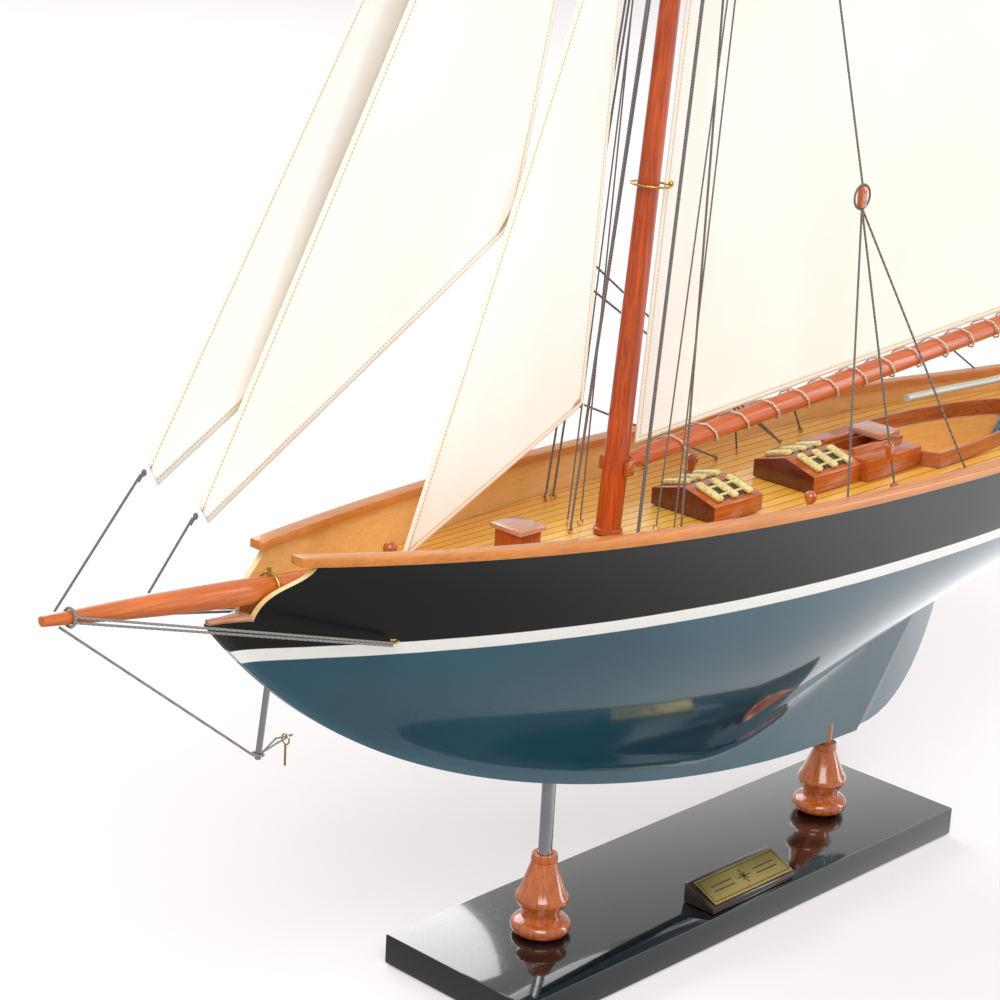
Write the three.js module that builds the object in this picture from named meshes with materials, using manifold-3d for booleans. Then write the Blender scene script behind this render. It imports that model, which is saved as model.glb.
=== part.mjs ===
// Gaff cutter, a display model on its stand. Millimetres, +Z up, bow toward -X, port side toward -Y.
// The origin is the centre of the base board's underside, and the ship's centre plane is Y = 0.
import * as THREE from 'three';
import { mergeVertices } from 'three/addons/utils/BufferGeometryUtils.js';
import Module from 'manifold-3d';

const wasm = await Module();
wasm.setup();

// ---------------------------------------------------------------- sizes
const GAP = 0.3; // clearance between pieces that touch

// stand
const BASE_LENGTH = 276;
const BASE_WIDTH = 76;
const BASE_THICK = 13;
const POST_SPACING = 180;
const FRONT_POST_HEIGHT = 34.4;
const REAR_POST_HEIGHT = 32.2;
const POST_FOOT_RADIUS = 11.6;
const POST_RIM_RADIUS = 10.9;
const ROD_RADIUS = 2.8;
const ROD_SOCKET_DEPTH = 10; // how far a rod goes into the keel or into its post
const PLATE_LENGTH = 50;
const PLATE_WIDTH = 15;
const PLATE_X = 0;

// hull: bow end, stern end and the widest station along X
const STEM_X = -265;
const STERN_X = 272;
const MID_X = 66;
const BEAM = 121;
const KEEL_HALF = 3.4;
const SHEER_MID = 183.2;
const SHEER_SLOPE = 0.04;
const BOW_RISE = 9;
const STERN_RISE = 2;
const TRANSOM_SHARE = 0.5; // transom breadth over the beam
const TRANSOM_RAKE = 0.4;
const HEEL = { x: 110, z: 46 }; // lower end of the sternpost
const POST_TOP = { x: 148, z: 98.4 }; // where the sternpost meets the counter
const COUNTER_SLOPE = 0.27;
const COUNTER_CURVE = 0.0004;
const STEM_DEPTH = 138.6; // stem head above the heel
const KEEL_SLOPE = 5;
const KEEL_BOW = 31;
const WALL = 2.4; // bulwark thickness
const BULWARK_MID = 13.6;
const BULWARK_BOW = 7.5;
const BULWARK_STERN = 6; // the deck's rise toward the sheer, complete by DECK_RISE_END
const DECK_RISE_START = -20;
const DECK_RISE_END = 195;
const DECK_THICK = 1.6;
const CAMBER = 1.2;
const RAIL_WIDTH = 6.2;
const RAIL_THICK = 3.4;
const RAIL_OVERHANG = 1.3;
const RAIL_START_X = -235;
const OGEE_TOP_X = -229;
const OGEE_FOOT_X = -248.5;

// rudder
const STOCK_RADIUS = 1.9;
const STOCK_CLEARANCE = 0.4;
const STOCK_HEAD_Z = 191;
const BLADE_THICK = 3.4;
const BLADE_GAP = 1.2;
const TILLER_REACH = 90;
const TILLER_RADIUS = 1.6;

// spars: the mast stands on deck at MAST_X and leans aft
const MAST_X = -65.6;
const MAST_RAKE = THREE.MathUtils.degToRad(4.2);
const MAST_RADIUS = 5;
const MAST_TIP_RADIUS = 2;
const MAST_TOP_Z = 706;
const BOOM_RADIUS = 4.5;
const BOOM_END_X = 300;
const BOOM_Z = 202.2; // boom axis where it meets the mast
const BOOM_SLOPE = 0.068;
const GAFF_RADIUS = 2.9;
const GAFF_LENGTH = 212;
const GAFF_Z = 452;
const GAFF_ANGLE = THREE.MathUtils.degToRad(51);
const JAW_WALL = 2.2;
const SPRIT_TIP = { x: -332, z: 202.4 };
const SPRIT_HEEL_X = -192;
const SPRIT_SLOPE = 0.1115;
const SPRIT_RADIUS = 4.7;
const GAMMON_ROOM = 1.7; // room in the bow for the band around the bowsprit
const TREES_Z = 545; // crosstrees
const TREES_HALF = 14.5;
const HOOP_Z = 310;
const HOOP_RADIUS = MAST_RADIUS + 2.6;
const HOOP_WIRE = 0.45;

// sails and lines
const SAIL_THICK = 1;
const LINE_RADIUS = 0.45;
const THICK_LINE_RADIUS = 0.7;
const LUFF_OFFSET = MAST_RADIUS + 4.9; // the mainsail's fore edge behind the mast's axis

// cockpit
const COCKPIT_FORE_X = 113;
const COCKPIT_AFT_X = 216;
const COCKPIT_HALF = 25.8;
const COCKPIT_DEPTH = 13;
const COAMING_WALL = 1.8;
const COAMING_HEIGHT = 7.6;
const AFT_SKYLIGHT_END = 74.8; // the companionway's box starts right behind it

// ---------------------------------------------------------------- helpers
const v = (x, y, z) => new THREE.Vector3(x, y, z);
const Z_AXIS = v(0, 0, 1);

// A closed geometry as a manifold solid.
function solid(geometry) {
  const bare = geometry.clone();
  for (const name of ['normal', 'uv']) bare.deleteAttribute(name);
  const merged = mergeVertices(bare, 1e-4);
  const corners = merged.index.array;
  const faces = [];
  for (let i = 0; i < corners.length; i += 3) {
    const [a, b, c] = corners.slice(i, i + 3);
    if (a !== b && b !== c && c !== a) faces.push(a, b, c);
  }
  return new wasm.Manifold(new wasm.Mesh({
    numProp: 3,
    vertProperties: new Float32Array(merged.attributes.position.array),
    triVerts: new Uint32Array(faces),
  }));
}

const join = (solids) => solids.reduce((all, next) => all.add(next));

// A named mesh from a manifold solid or from a geometry.
function piece(name, shape, color, roughness, metalness = 0) {
  let geometry = shape;
  if (!shape.isBufferGeometry) {
    const mesh = shape.getMesh();
    geometry = new THREE.BufferGeometry();
    geometry.setAttribute('position', new THREE.BufferAttribute(mesh.vertProperties, 3));
    geometry.setIndex(new THREE.BufferAttribute(mesh.triVerts, 1));
    geometry.computeVertexNormals();
  }
  const item = new THREE.Mesh(geometry, new THREE.MeshStandardMaterial({ color, roughness, metalness }));
  item.name = name;
  return item;
}

// A round bar from one point to another; the second radius makes it taper.
function bar(from, to, radius, endRadius = radius, sides = 8) {
  const along = to.clone().sub(from);
  const geometry = new THREE.CylinderGeometry(endRadius, radius, along.length(), sides);
  const turn = new THREE.Quaternion().setFromUnitVectors(v(0, 1, 0), along.clone().normalize());
  geometry.applyQuaternion(turn);
  const middle = from.clone().add(to).multiplyScalar(0.5);
  return geometry.translate(middle.x, middle.y, middle.z);
}

// A thread through several points, with a small ball at each bend.
function thread(points, radius = LINE_RADIUS) {
  const parts = [];
  points.slice(1).forEach((to, i) => parts.push(solid(bar(points[i], to, radius))));
  for (const bend of points.slice(1, -1)) {
    const ball = new THREE.SphereGeometry(radius * 1.35, 8, 6);
    parts.push(solid(ball.translate(bend.x, bend.y, bend.z)));
  }
  return join(parts);
}

// A ring of wire about a point, its axis along a direction.
function ring(centre, axis, radius, wire, around = 20, sides = 8) {
  const geometry = new THREE.TorusGeometry(radius, wire, sides, around);
  geometry.applyQuaternion(new THREE.Quaternion().setFromUnitVectors(Z_AXIS, axis.clone().normalize()));
  return geometry.translate(centre.x, centre.y, centre.z);
}

const box = (x0, x1, y0, y1, z0, z1) => new THREE.BoxGeometry(x1 - x0, y1 - y0, z1 - z0)
  .translate((x0 + x1) / 2, (y0 + y1) / 2, (z0 + z1) / 2);

// A flat outline in the XZ plane, given thickness across Y about a centre.
function sidePlate(outline, thick, y = 0) {
  const settings = { depth: thick, bevelEnabled: false, curveSegments: 10 };
  const geometry = new THREE.ExtrudeGeometry(outline, settings);
  return geometry.rotateX(Math.PI / 2).translate(0, y + thick / 2, 0);
}

function outline(points) {
  const shape = new THREE.Shape();
  shape.moveTo(...points[0]);
  for (const point of points.slice(1)) shape.lineTo(...point);
  shape.closePath();
  return shape;
}

// A skin over one closed section per station; section(x) lists points, all stations alike in number.
function loft(stations, section) {
  const rings = stations.map(section);
  const around = rings[0].length;
  const geometry = new THREE.CylinderGeometry(1, 1, 1, around, stations.length - 1);
  const place = geometry.attributes.position;
  for (let i = 0; i < place.count; i += 1) {
    const row = Math.round((0.5 - place.getY(i)) * (stations.length - 1));
    const turn = Math.atan2(place.getX(i), place.getZ(i)) / (2 * Math.PI);
    const column = (Math.round(turn * around) + around) % around;
    const onRim = Math.hypot(place.getX(i), place.getZ(i)) > 0.5;
    const target = onRim ? rings[row][column] : rings[row]
      .reduce((sum, point) => sum.add(point), v(0, 0, 0)).divideScalar(around);
    place.setXYZ(i, target.x, target.y, target.z);
  }
  return geometry;
}

// Stations from one end to the other, closer together near the first end.
function spread(from, to, count, crowd = 1) {
  return Array.from({ length: count + 1 }, (_, i) => from + (to - from) * (i / count) ** crowd);
}

// ---------------------------------------------------------------- hull lines
const towardBow = (x) => Math.max(0, (MID_X - x) / (MID_X - STEM_X));
const towardStern = (x) => Math.max(0, (x - MID_X) / (STERN_X - MID_X));

function sheerHalf(x) {
  const bow = (1 - Math.min(1, towardBow(x)) ** 2.3) ** 1.04;
  const stern = 1 - (1 - TRANSOM_SHARE) * towardStern(x) ** 2.6;
  return 1.4 + (BEAM / 2 - 1.4) * bow * stern;
}

function sheerZ(x) {
  return SHEER_MID + SHEER_SLOPE * (MID_X - x) + BOW_RISE * towardBow(x) ** 2.8
    + STERN_RISE * towardStern(x) ** 2;
}

function deckZ(x) {
  return sheerZ(x) - BULWARK_MID - BULWARK_BOW * towardBow(x) ** 1.6
    + BULWARK_STERN * THREE.MathUtils.smoothstep(x, DECK_RISE_START, DECK_RISE_END);
}

function counterZ(x) {
  const aft = x - POST_TOP.x;
  return POST_TOP.z + COUNTER_SLOPE * aft + COUNTER_CURVE * aft * aft;
}

function keelZ(x) {
  if (x > POST_TOP.x) return counterZ(x);
  if (x > HEEL.x) return HEEL.z + (POST_TOP.z - HEEL.z) * (x - HEEL.x) / (POST_TOP.x - HEEL.x);
  const fore = (HEEL.x - x) / (HEEL.x - STEM_X);
  const even = STEM_DEPTH - KEEL_SLOPE - KEEL_BOW;
  return HEEL.z + KEEL_SLOPE * fore + even * fore ** 2 + KEEL_BOW * fore ** 8;
}

// The bottom of the hull's body, which leaves the keel line toward the sternpost.
function bodyZ(x) {
  const start = -10;
  if (x <= start || x > POST_TOP.x) return keelZ(x);
  const share = (x - start) / (POST_TOP.x - start);
  const [s2, s3] = [share ** 2, share ** 3];
  const run = POST_TOP.x - start;
  return (2 * s3 - 3 * s2 + 1) * keelZ(start) + (s3 - 2 * s2 + share) * run * -0.17
    + (3 * s2 - 2 * s3) * POST_TOP.z + (s3 - s2) * run * COUNTER_SLOPE;
}

// Half the hull's breadth at a station and height.
function hullHalf(x, z) {
  const low = bodyZ(x);
  const share = THREE.MathUtils.clamp((z - low) / (sheerZ(x) - low), 0, 1);
  const stemward = towardBow(x) ** 1.5;
  const sternward = THREE.MathUtils.smoothstep(x, 60, 200);
  const full = 2.8 - 1.2 * stemward;
  const hollow = 1.6 - 0.6 * stemward - 0.75 * sternward;
  const body = sheerHalf(x) * (1 - (1 - share) ** full) ** hollow;
  const fin = KEEL_HALF * (1 - 0.55 * stemward) * (1 - 0.4 * THREE.MathUtils.smoothstep(x, 40, HEEL.x));
  return Math.min(Math.cbrt(body ** 3 + fin ** 3), sheerHalf(x));
}

// The stern leans aft with height near the transom.
function lean(x, y, z) {
  const rake = TRANSOM_RAKE * THREE.MathUtils.smoothstep(x, 215, STERN_X);
  return v(x + rake * (z - counterZ(x)), y, z);
}

// ---------------------------------------------------------------- stand
function turnedPost(height, spigot) {
  const profile = new THREE.Path();
  profile.moveTo(0, 0);
  profile.lineTo(POST_FOOT_RADIUS - 2.4, 0);
  profile.absarc(POST_FOOT_RADIUS - 2.4, 3.4, 3, -Math.PI / 2 + 0.3, Math.PI / 2 - 0.3, false);
  profile.lineTo(POST_FOOT_RADIUS - 3.6, 7);
  profile.quadraticCurveTo(POST_FOOT_RADIUS - 4.2, 9, POST_RIM_RADIUS - 2.6, 10.6);
  profile.lineTo(POST_RIM_RADIUS, 14.6);
  profile.quadraticCurveTo(POST_RIM_RADIUS + 0.2, 16.2, POST_RIM_RADIUS - 1.6, 18);
  profile.lineTo(5, height - 3);
  profile.lineTo(5.4, height - 2.4);
  profile.lineTo(5, height);
  if (spigot) {
    profile.lineTo(ROD_RADIUS, height);
    profile.lineTo(ROD_RADIUS, height + spigot);
  }
  profile.lineTo(0, height + spigot);
  return new THREE.LatheGeometry(profile.getPoints(4), 24);
}

function standPieces() {
  const group = new THREE.Group();
  const rim = 0.8;
  const half = [BASE_LENGTH / 2 - rim, BASE_WIDTH / 2 - rim];
  const board = new THREE.ExtrudeGeometry(
    outline([[-half[0], -half[1]], [half[0], -half[1]], [half[0], half[1]], [-half[0], half[1]]]),
    { depth: BASE_THICK - 2 * rim, bevelThickness: rim, bevelSize: rim, bevelSegments: 2 },
  ).translate(0, 0, rim);
  group.add(piece('base_board', board, 0x0b0b0c, 0.12));

  const postX = POST_SPACING / 2;
  const posts = [['front', -postX, FRONT_POST_HEIGHT, 0], ['rear', postX, REAR_POST_HEIGHT, 9]];
  for (const [end, x, height, spigot] of posts) {
    let shape = solid(turnedPost(height - GAP, spigot).rotateX(Math.PI / 2));
    if (!spigot) {
      const floor = v(0, 0, height - ROD_SOCKET_DEPTH);
      const hole = bar(floor, v(0, 0, height + 5), ROD_RADIUS + GAP, undefined, 20);
      shape = shape.subtract(solid(hole));
    }
    const post = piece(`pedestal_${end}`, shape, 0xa9471c, 0.3);
    post.position.set(x, 0, BASE_THICK + GAP);
    group.add(post);
  }
  const rodFoot = BASE_THICK + FRONT_POST_HEIGHT - ROD_SOCKET_DEPTH + 2 * GAP;
  const rodTop = keelZ(-postX) + ROD_SOCKET_DEPTH - GAP;
  const rod = new THREE.CylinderGeometry(ROD_RADIUS, ROD_RADIUS, rodTop - rodFoot, 20).rotateX(Math.PI / 2);
  const steel = piece('support_rod', rod, 0xb9bdc0, 0.25, 1);
  steel.position.set(-postX, 0, (rodTop + rodFoot) / 2);
  group.add(steel);

  // a wedge on the board's port edge tilts the plate up toward the viewer
  const wedge = outline([[0, 0], [16, 0], [16, 9], [13.5, 9], [0, 3]]);
  const block = new THREE.ExtrudeGeometry(wedge, { depth: PLATE_LENGTH + 3, bevelEnabled: false })
    .rotateX(Math.PI / 2).rotateZ(Math.PI / 2).translate(-(PLATE_LENGTH + 3) / 2, 0, 0);
  const holder = piece('nameplate_block', block, 0x15100e, 0.3);
  holder.position.set(PLATE_X, -BASE_WIDTH / 2 + 1.5, BASE_THICK + GAP);
  group.add(holder);
  const tilt = Math.atan2(6, 13.5);
  const sheet = new THREE.BoxGeometry(PLATE_LENGTH, PLATE_WIDTH - 1.5, 0.6);
  const plate = piece('nameplate', sheet, 0x9c8240, 0.35, 0.9);
  const plateY = -BASE_WIDTH / 2 + 1.5 + 6.75 - 0.66 * Math.sin(tilt);
  plate.position.set(PLATE_X, plateY, BASE_THICK + GAP + 6 + 0.72);
  plate.rotation.x = tilt;
  group.add(plate);
  return group;
}

// ---------------------------------------------------------------- hull and deck
const rudderAxis = v(POST_TOP.x - HEEL.x, 0, POST_TOP.z - HEEL.z).normalize();
const stockAt = (z) => v(POST_TOP.x, 0, POST_TOP.z)
  .addScaledVector(rudderAxis, (z - POST_TOP.z) / rudderAxis.z);

// the cockpit's plan: square-cornered fore end, sides drawing in to a round aft end
function cockpitPlan(inset) {
  const plan = new THREE.Shape();
  const half = COCKPIT_HALF - inset;
  const fore = COCKPIT_FORE_X + inset;
  const aft = COCKPIT_AFT_X - inset;
  plan.moveTo(fore, -half * 0.72);
  plan.lineTo(fore + 4, -half);
  plan.quadraticCurveTo(fore + 58, -half * 1.02, aft - 6, -half * 0.42);
  plan.quadraticCurveTo(aft, -half * 0.3, aft, 0);
  plan.quadraticCurveTo(aft, half * 0.3, aft - 6, half * 0.42);
  plan.quadraticCurveTo(fore + 58, half * 1.02, fore + 4, half);
  plan.lineTo(fore, half * 0.72);
  plan.closePath();
  return plan;
}

const standing = (shape, z0, z1) => new THREE.ExtrudeGeometry(shape, {
  depth: z1 - z0, bevelEnabled: false, curveSegments: 8,
}).translate(0, 0, z0);

const soleZ = deckZ(COCKPIT_FORE_X) - COCKPIT_DEPTH;

function hullSolid() {
  const perSide = 15;
  const section = (x) => {
    const port = [];
    const top = sheerZ(x);
    const low = Math.min(keelZ(x), top - 6);
    for (let i = 0; i <= perSide; i += 1) {
      const share = 0.5 * (1 - Math.cos(Math.PI * i / perSide)) * 0.6 + 0.4 * i / perSide;
      const z = low + (top - low) * share;
      port.push(lean(x, -hullHalf(x, z), z));
    }
    const starboard = port.slice().reverse().map((point) => v(point.x, -point.y, point.z));
    return [...port, ...starboard];
  };
  const aft = [HEEL.x, 119, 128, 138, POST_TOP.x, 156, 170, 190, 215, 235, 255, STERN_X];
  const stations = [...spread(STEM_X, HEEL.x - 12, 30, 1.15), ...aft];
  let hull = solid(loft(stations, section));

  const well = (x) => {
    const floor = deckZ(x) - DECK_THICK - GAP;
    const low = hullHalf(x, floor) - WALL;
    const high = sheerHalf(x) - WALL;
    return [lean(x, high, sheerZ(x) + 8), lean(x, high, sheerZ(x)), lean(x, low, floor),
      lean(x, -low, floor), lean(x, -high, sheerZ(x)), lean(x, -high, sheerZ(x) + 8)];
  };
  hull = hull.subtract(solid(loft(spread(OGEE_FOOT_X - 3, STERN_X - 3, 30), well)));

  // the bulwark's fore end is an ogee above the beak
  const cut = new THREE.Shape();
  const foot = deckZ(OGEE_FOOT_X);
  const head = sheerZ(OGEE_TOP_X);
  cut.moveTo(STEM_X - 20, deckZ(STEM_X) - 1.6 + 20 * 0.12);
  cut.lineTo(STEM_X - 20, head + 20);
  cut.lineTo(OGEE_TOP_X, head + 20);
  cut.lineTo(OGEE_TOP_X, head);
  cut.bezierCurveTo(OGEE_TOP_X - 5, head - 7, OGEE_FOOT_X + 3, head - 5, OGEE_FOOT_X, foot);
  cut.lineTo(OGEE_FOOT_X, foot - 1.6);
  cut.closePath();
  hull = hull.subtract(solid(sidePlate(cut, 60)));

  const trunkRadius = STOCK_RADIUS + STOCK_CLEARANCE;
  const trunk = bar(stockAt(HEEL.z - 8), stockAt(STOCK_HEAD_Z + 10), trunkRadius, undefined, 16);
  const frontHole = bar(v(-POST_SPACING / 2, 0, 30), v(-POST_SPACING / 2, 0, keelZ(-POST_SPACING / 2)
    + ROD_SOCKET_DEPTH), ROD_RADIUS + GAP, undefined, 20);
  const rearHole = bar(v(POST_SPACING / 2, 0, 30), v(POST_SPACING / 2, 0, keelZ(POST_SPACING / 2)
    + ROD_SOCKET_DEPTH), ROD_RADIUS + GAP, undefined, 20);
  const pit = standing(cockpitPlan(COAMING_WALL + GAP), soleZ - DECK_THICK - GAP, deckZ(COCKPIT_AFT_X) + 30);
  const roomRadius = SPRIT_RADIUS + GAMMON_ROOM;
  const spritRoom = bar(spritAt(STEM_X - 5), spritAt(SPRIT_HEEL_X), roomRadius, undefined, 20);
  for (const tool of [trunk, frontHole, rearHole, pit, spritRoom]) hull = hull.subtract(solid(tool));
  return hull;
}

function deckSolid() {
  const section = (x) => {
    const half = Math.min(hullHalf(x, deckZ(x)), hullHalf(x, deckZ(x) - DECK_THICK)) - WALL - GAP;
    const points = [];
    for (let i = 0; i <= 6; i += 1) {
      const across = 1 - i / 3;
      points.push(lean(x, half * across, deckZ(x) + CAMBER * (1 - across * across)));
    }
    points.push(lean(x, -half, deckZ(x) - DECK_THICK), lean(x, half, deckZ(x) - DECK_THICK));
    return points.reverse();
  };
  const deck = solid(loft(spread(OGEE_FOOT_X - 2, STERN_X - 3.6, 30), section));
  const hole = bar(stockAt(150), stockAt(STOCK_HEAD_Z + 10), STOCK_RADIUS + STOCK_CLEARANCE, undefined, 16);
  const pit = standing(cockpitPlan(COAMING_WALL + GAP), 150, deckZ(COCKPIT_FORE_X) + 30);
  return deck.subtract(solid(hole)).subtract(solid(pit));
}

function beakSolid() {
  const section = (x) => {
    const half = Math.max(hullHalf(x, deckZ(x)) - 0.2, 0.6);
    return [v(x, half, deckZ(x) + 0.4), v(x, half, deckZ(x) - 1.1), v(x, -half, deckZ(x) - 1.1),
      v(x, -half, deckZ(x) + 0.4)];
  };
  return solid(loft(spread(STEM_X + 0.5, OGEE_FOOT_X - GAP - 3.2, 5), section));
}

function railSolid(side) {
  const section = (x) => {
    const outer = sheerHalf(x) + RAIL_OVERHANG;
    const inner = outer - RAIL_WIDTH;
    const low = sheerZ(x) + GAP;
    const corners = [[inner, low + RAIL_THICK], [outer - 0.5, low + RAIL_THICK], [outer, low + RAIL_THICK - 0.5],
      [outer, low], [inner, low]];
    const points = corners.map(([y, z]) => lean(x, side * y, z));
    return side < 0 ? points.reverse() : points;
  };
  return solid(loft(spread(RAIL_START_X, STERN_X - 9.5, 34), section));
}

function taffrailSolid() {
  const half = sheerHalf(STERN_X) + RAIL_OVERHANG;
  const low = sheerZ(STERN_X) + GAP;
  const shift = lean(STERN_X, 0, low).x;
  const plan = new THREE.Shape();
  plan.moveTo(shift - 6.2, -half);
  plan.quadraticCurveTo(shift + 3.5, -half * 0.7, shift + 4, 0);
  plan.quadraticCurveTo(shift + 3.5, half * 0.7, shift - 6.2, half);
  plan.closePath();
  return solid(standing(plan, low, low + RAIL_THICK));
}

function hullPieces() {
  const group = new THREE.Group();
  group.add(piece('hull', hullSolid(), 0x101011, 0.3));
  group.add(piece('deck', deckSolid(), 0xc98a35, 0.45));
  group.add(piece('beak_deck', beakSolid(), 0xa8685a, 0.45));
  group.add(piece('cap_rail_port', railSolid(-1), 0x9c5432, 0.4));
  group.add(piece('cap_rail_starboard', railSolid(1), 0x9c5432, 0.4));
  group.add(piece('taffrail', taffrailSolid(), 0x9c5432, 0.4));
  return group;
}

// ---------------------------------------------------------------- rudder and tiller
function rudderSolid() {
  const foot = stockAt(HEEL.z + 2);
  const top = stockAt(POST_TOP.z - BLADE_GAP);
  const rear = v(POST_TOP.x + 15, 0, counterZ(POST_TOP.x + 15) - BLADE_GAP);
  const blade = new THREE.Shape();
  blade.moveTo(foot.x, foot.z);
  blade.quadraticCurveTo(POST_TOP.x + 1, HEEL.z + 1.5, rear.x, rear.z);
  blade.lineTo(top.x, top.z);
  blade.closePath();
  const stock = bar(foot, stockAt(STOCK_HEAD_Z), STOCK_RADIUS, undefined, 16);
  return solid(sidePlate(blade, BLADE_THICK)).add(solid(stock));
}

function tillerSolid() {
  const head = stockAt(STOCK_HEAD_Z);
  const socket = head.clone().addScaledVector(rudderAxis, GAP);
  const path = new THREE.CatmullRomCurve3([
    v(socket.x, 0, socket.z + 2.4), v(head.x - TILLER_REACH * 0.3, 0, head.z + 2.8),
    v(head.x - TILLER_REACH * 0.7, 0, head.z + 4.6), v(head.x - TILLER_REACH, 0, head.z + 5.5)]);
  const section = new THREE.Shape().absarc(0, 0, TILLER_RADIUS, 0, 2 * Math.PI);
  const arm = new THREE.ExtrudeGeometry(section, { steps: 14, extrudePath: path, curveSegments: 5 });
  const cap = bar(socket, socket.clone().addScaledVector(rudderAxis, 3), STOCK_RADIUS + 0.7, undefined, 14);
  const room = bar(stockAt(STOCK_HEAD_Z - 10), socket, STOCK_RADIUS + GAP, undefined, 16);
  return solid(arm).add(solid(cap)).subtract(solid(room));
}

// ---------------------------------------------------------------- bowsprit
const spritZ = (x) => SPRIT_TIP.z - SPRIT_SLOPE * (x - SPRIT_TIP.x);
const spritAt = (x) => v(x, 0, spritZ(x));

function spritRadius(x) {
  const share = THREE.MathUtils.clamp((x - SPRIT_TIP.x) / 90, 0, 1);
  return SPRIT_RADIUS * (0.37 + 0.63 * Math.sin(share * Math.PI / 2));
}

// Where a fastening meets the bowsprit: just clear of its underside or top.
const underSprit = (x) => v(x, 0, spritZ(x) - spritRadius(x) - GAP - LINE_RADIUS);
const overSprit = (x) => v(x, 0, spritZ(x) + spritRadius(x) + GAP + LINE_RADIUS);

function spritSolid() {
  const stations = spread(SPRIT_TIP.x, SPRIT_HEEL_X, 9);
  return solid(loft(stations, (x) => Array.from({ length: 16 }, (_, i) => {
    const turn = i * Math.PI / 8;
    return v(x, -spritRadius(x) * Math.cos(turn), spritZ(x) + spritRadius(x) * Math.sin(turn));
  })));
}

const STRIKER_TOP = v(-237, 0, keelZ(-237) + 4);
const STRIKER_TIP = v(-241, 0, keelZ(-237) - 25);
const whippingX = SPRIT_TIP.x + 11;
const hullEye = (side) => v(-198, side * (hullHalf(-198, 169.5) + 1.4), 169.5);

function bowPieces() {
  const group = new THREE.Group();
  group.add(piece('bowsprit', spritSolid(), 0xa8481c, 0.35));
  const gammonX = -238;
  const band = ring(spritAt(gammonX), v(1, 0, -SPRIT_SLOPE), spritRadius(gammonX) + GAP + 0.6, 0.55);
  const lug = bar(v(gammonX, 0, spritZ(gammonX) + 5), v(gammonX, 0, spritZ(gammonX) + 8), 0.8);
  group.add(piece('gammon_band', solid(band).add(solid(lug)), 0xb59a62, 0.3, 0.9));

  const striker = solid(bar(STRIKER_TOP, STRIKER_TIP, 1.15, undefined, 12)).subtract(cutHull(-237));
  group.add(piece('dolphin_striker', striker, 0xb4b6b8, 0.3, 1));
  return group;
}

// A block that removes what lies inside the hull's stem near a station.
function cutHull(x) {
  const slope = (keelZ(x + 3) - keelZ(x - 3)) / 6;
  const tool = sidePlate(outline([[x - 12, keelZ(x) - 12 * slope - GAP], [x + 12, keelZ(x) + 12 * slope - GAP],
    [x + 12, keelZ(x) + 60], [x - 12, keelZ(x) + 60]]), 20);
  return solid(tool);
}

// ---------------------------------------------------------------- mast and spars
const mastFoot = deckZ(MAST_X) + CAMBER + GAP + 0.3;
const mastX = (z) => MAST_X + Math.tan(MAST_RAKE) * (z - mastFoot);
const mastAt = (z, forward = 0, side = 0) => v(mastX(z) - forward, side, z);
const mastAxis = v(Math.sin(MAST_RAKE), 0, Math.cos(MAST_RAKE));

function mastRadius(z) {
  const share = THREE.MathUtils.clamp((z - mastFoot) / (MAST_TOP_Z - mastFoot), 0, 1);
  return MAST_RADIUS - (MAST_RADIUS - MAST_TIP_RADIUS) * share ** 0.8;
}

// A point just clear of the mast's surface, in a direction around it (0 is forward, 90 is port).
function besideMast(z, degrees, radius = LINE_RADIUS) {
  const turn = THREE.MathUtils.degToRad(degrees);
  const reach = mastRadius(z) + radius + GAP + 0.35;
  return v(mastX(z) - reach * Math.cos(turn), -reach * Math.sin(turn), z);
}

function mastSolid() {
  const length = (MAST_TOP_Z - mastFoot) / Math.cos(MAST_RAKE);
  const profile = [new THREE.Vector2(0, 0), new THREE.Vector2(MAST_RADIUS + 0.7, 0),
    new THREE.Vector2(MAST_RADIUS + 0.7, 1.8), new THREE.Vector2(MAST_RADIUS, 2.4)];
  for (const share of [0.1, 0.25, 0.4, 0.6, 0.8, 1]) {
    profile.push(new THREE.Vector2(mastRadius(mastFoot + (MAST_TOP_Z - mastFoot) * share), length * share));
  }
  profile.push(new THREE.Vector2(MAST_TIP_RADIUS + 0.9, length + 1), new THREE.Vector2(0, length + 3));
  return new THREE.LatheGeometry(profile, 20);
}

// A jaw of wood or brass that goes half round the mast, with a spar joined to it.
function jaw(z, height) {
  const inner = mastRadius(z) + GAP + 0.2;
  const outer = inner + JAW_WALL;
  const shape = new THREE.Shape();
  shape.absarc(0, 0, outer, -Math.PI * 0.55, Math.PI * 0.55, false);
  shape.absarc(0, 0, inner, Math.PI * 0.55, -Math.PI * 0.55, true);
  shape.closePath();
  return new THREE.ExtrudeGeometry(shape, { depth: height, bevelEnabled: false, curveSegments: 14 })
    .translate(0, 0, -height / 2).rotateY(MAST_RAKE).translate(mastX(z), 0, z);
}

const boomZ = (x) => BOOM_Z + BOOM_SLOPE * (x - mastX(BOOM_Z));
const boomRadius = (x) => BOOM_RADIUS * (0.78 + 0.22 * Math.sin(Math.PI
  * THREE.MathUtils.clamp((x - mastX(BOOM_Z)) / (BOOM_END_X - mastX(BOOM_Z)), 0, 1)));
const boomFore = mastX(BOOM_Z) + MAST_RADIUS + GAP + 1.4;
const boomAt = (x) => v(x, 0, boomZ(x));

const gaffFrom = mastAt(GAFF_Z).add(v(mastRadius(GAFF_Z) + GAP + 1.2, 0, 0));
const gaffDirection = v(Math.cos(GAFF_ANGLE), 0, Math.sin(GAFF_ANGLE));
const gaffAt = (along) => gaffFrom.clone().addScaledVector(gaffDirection, along);

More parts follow.
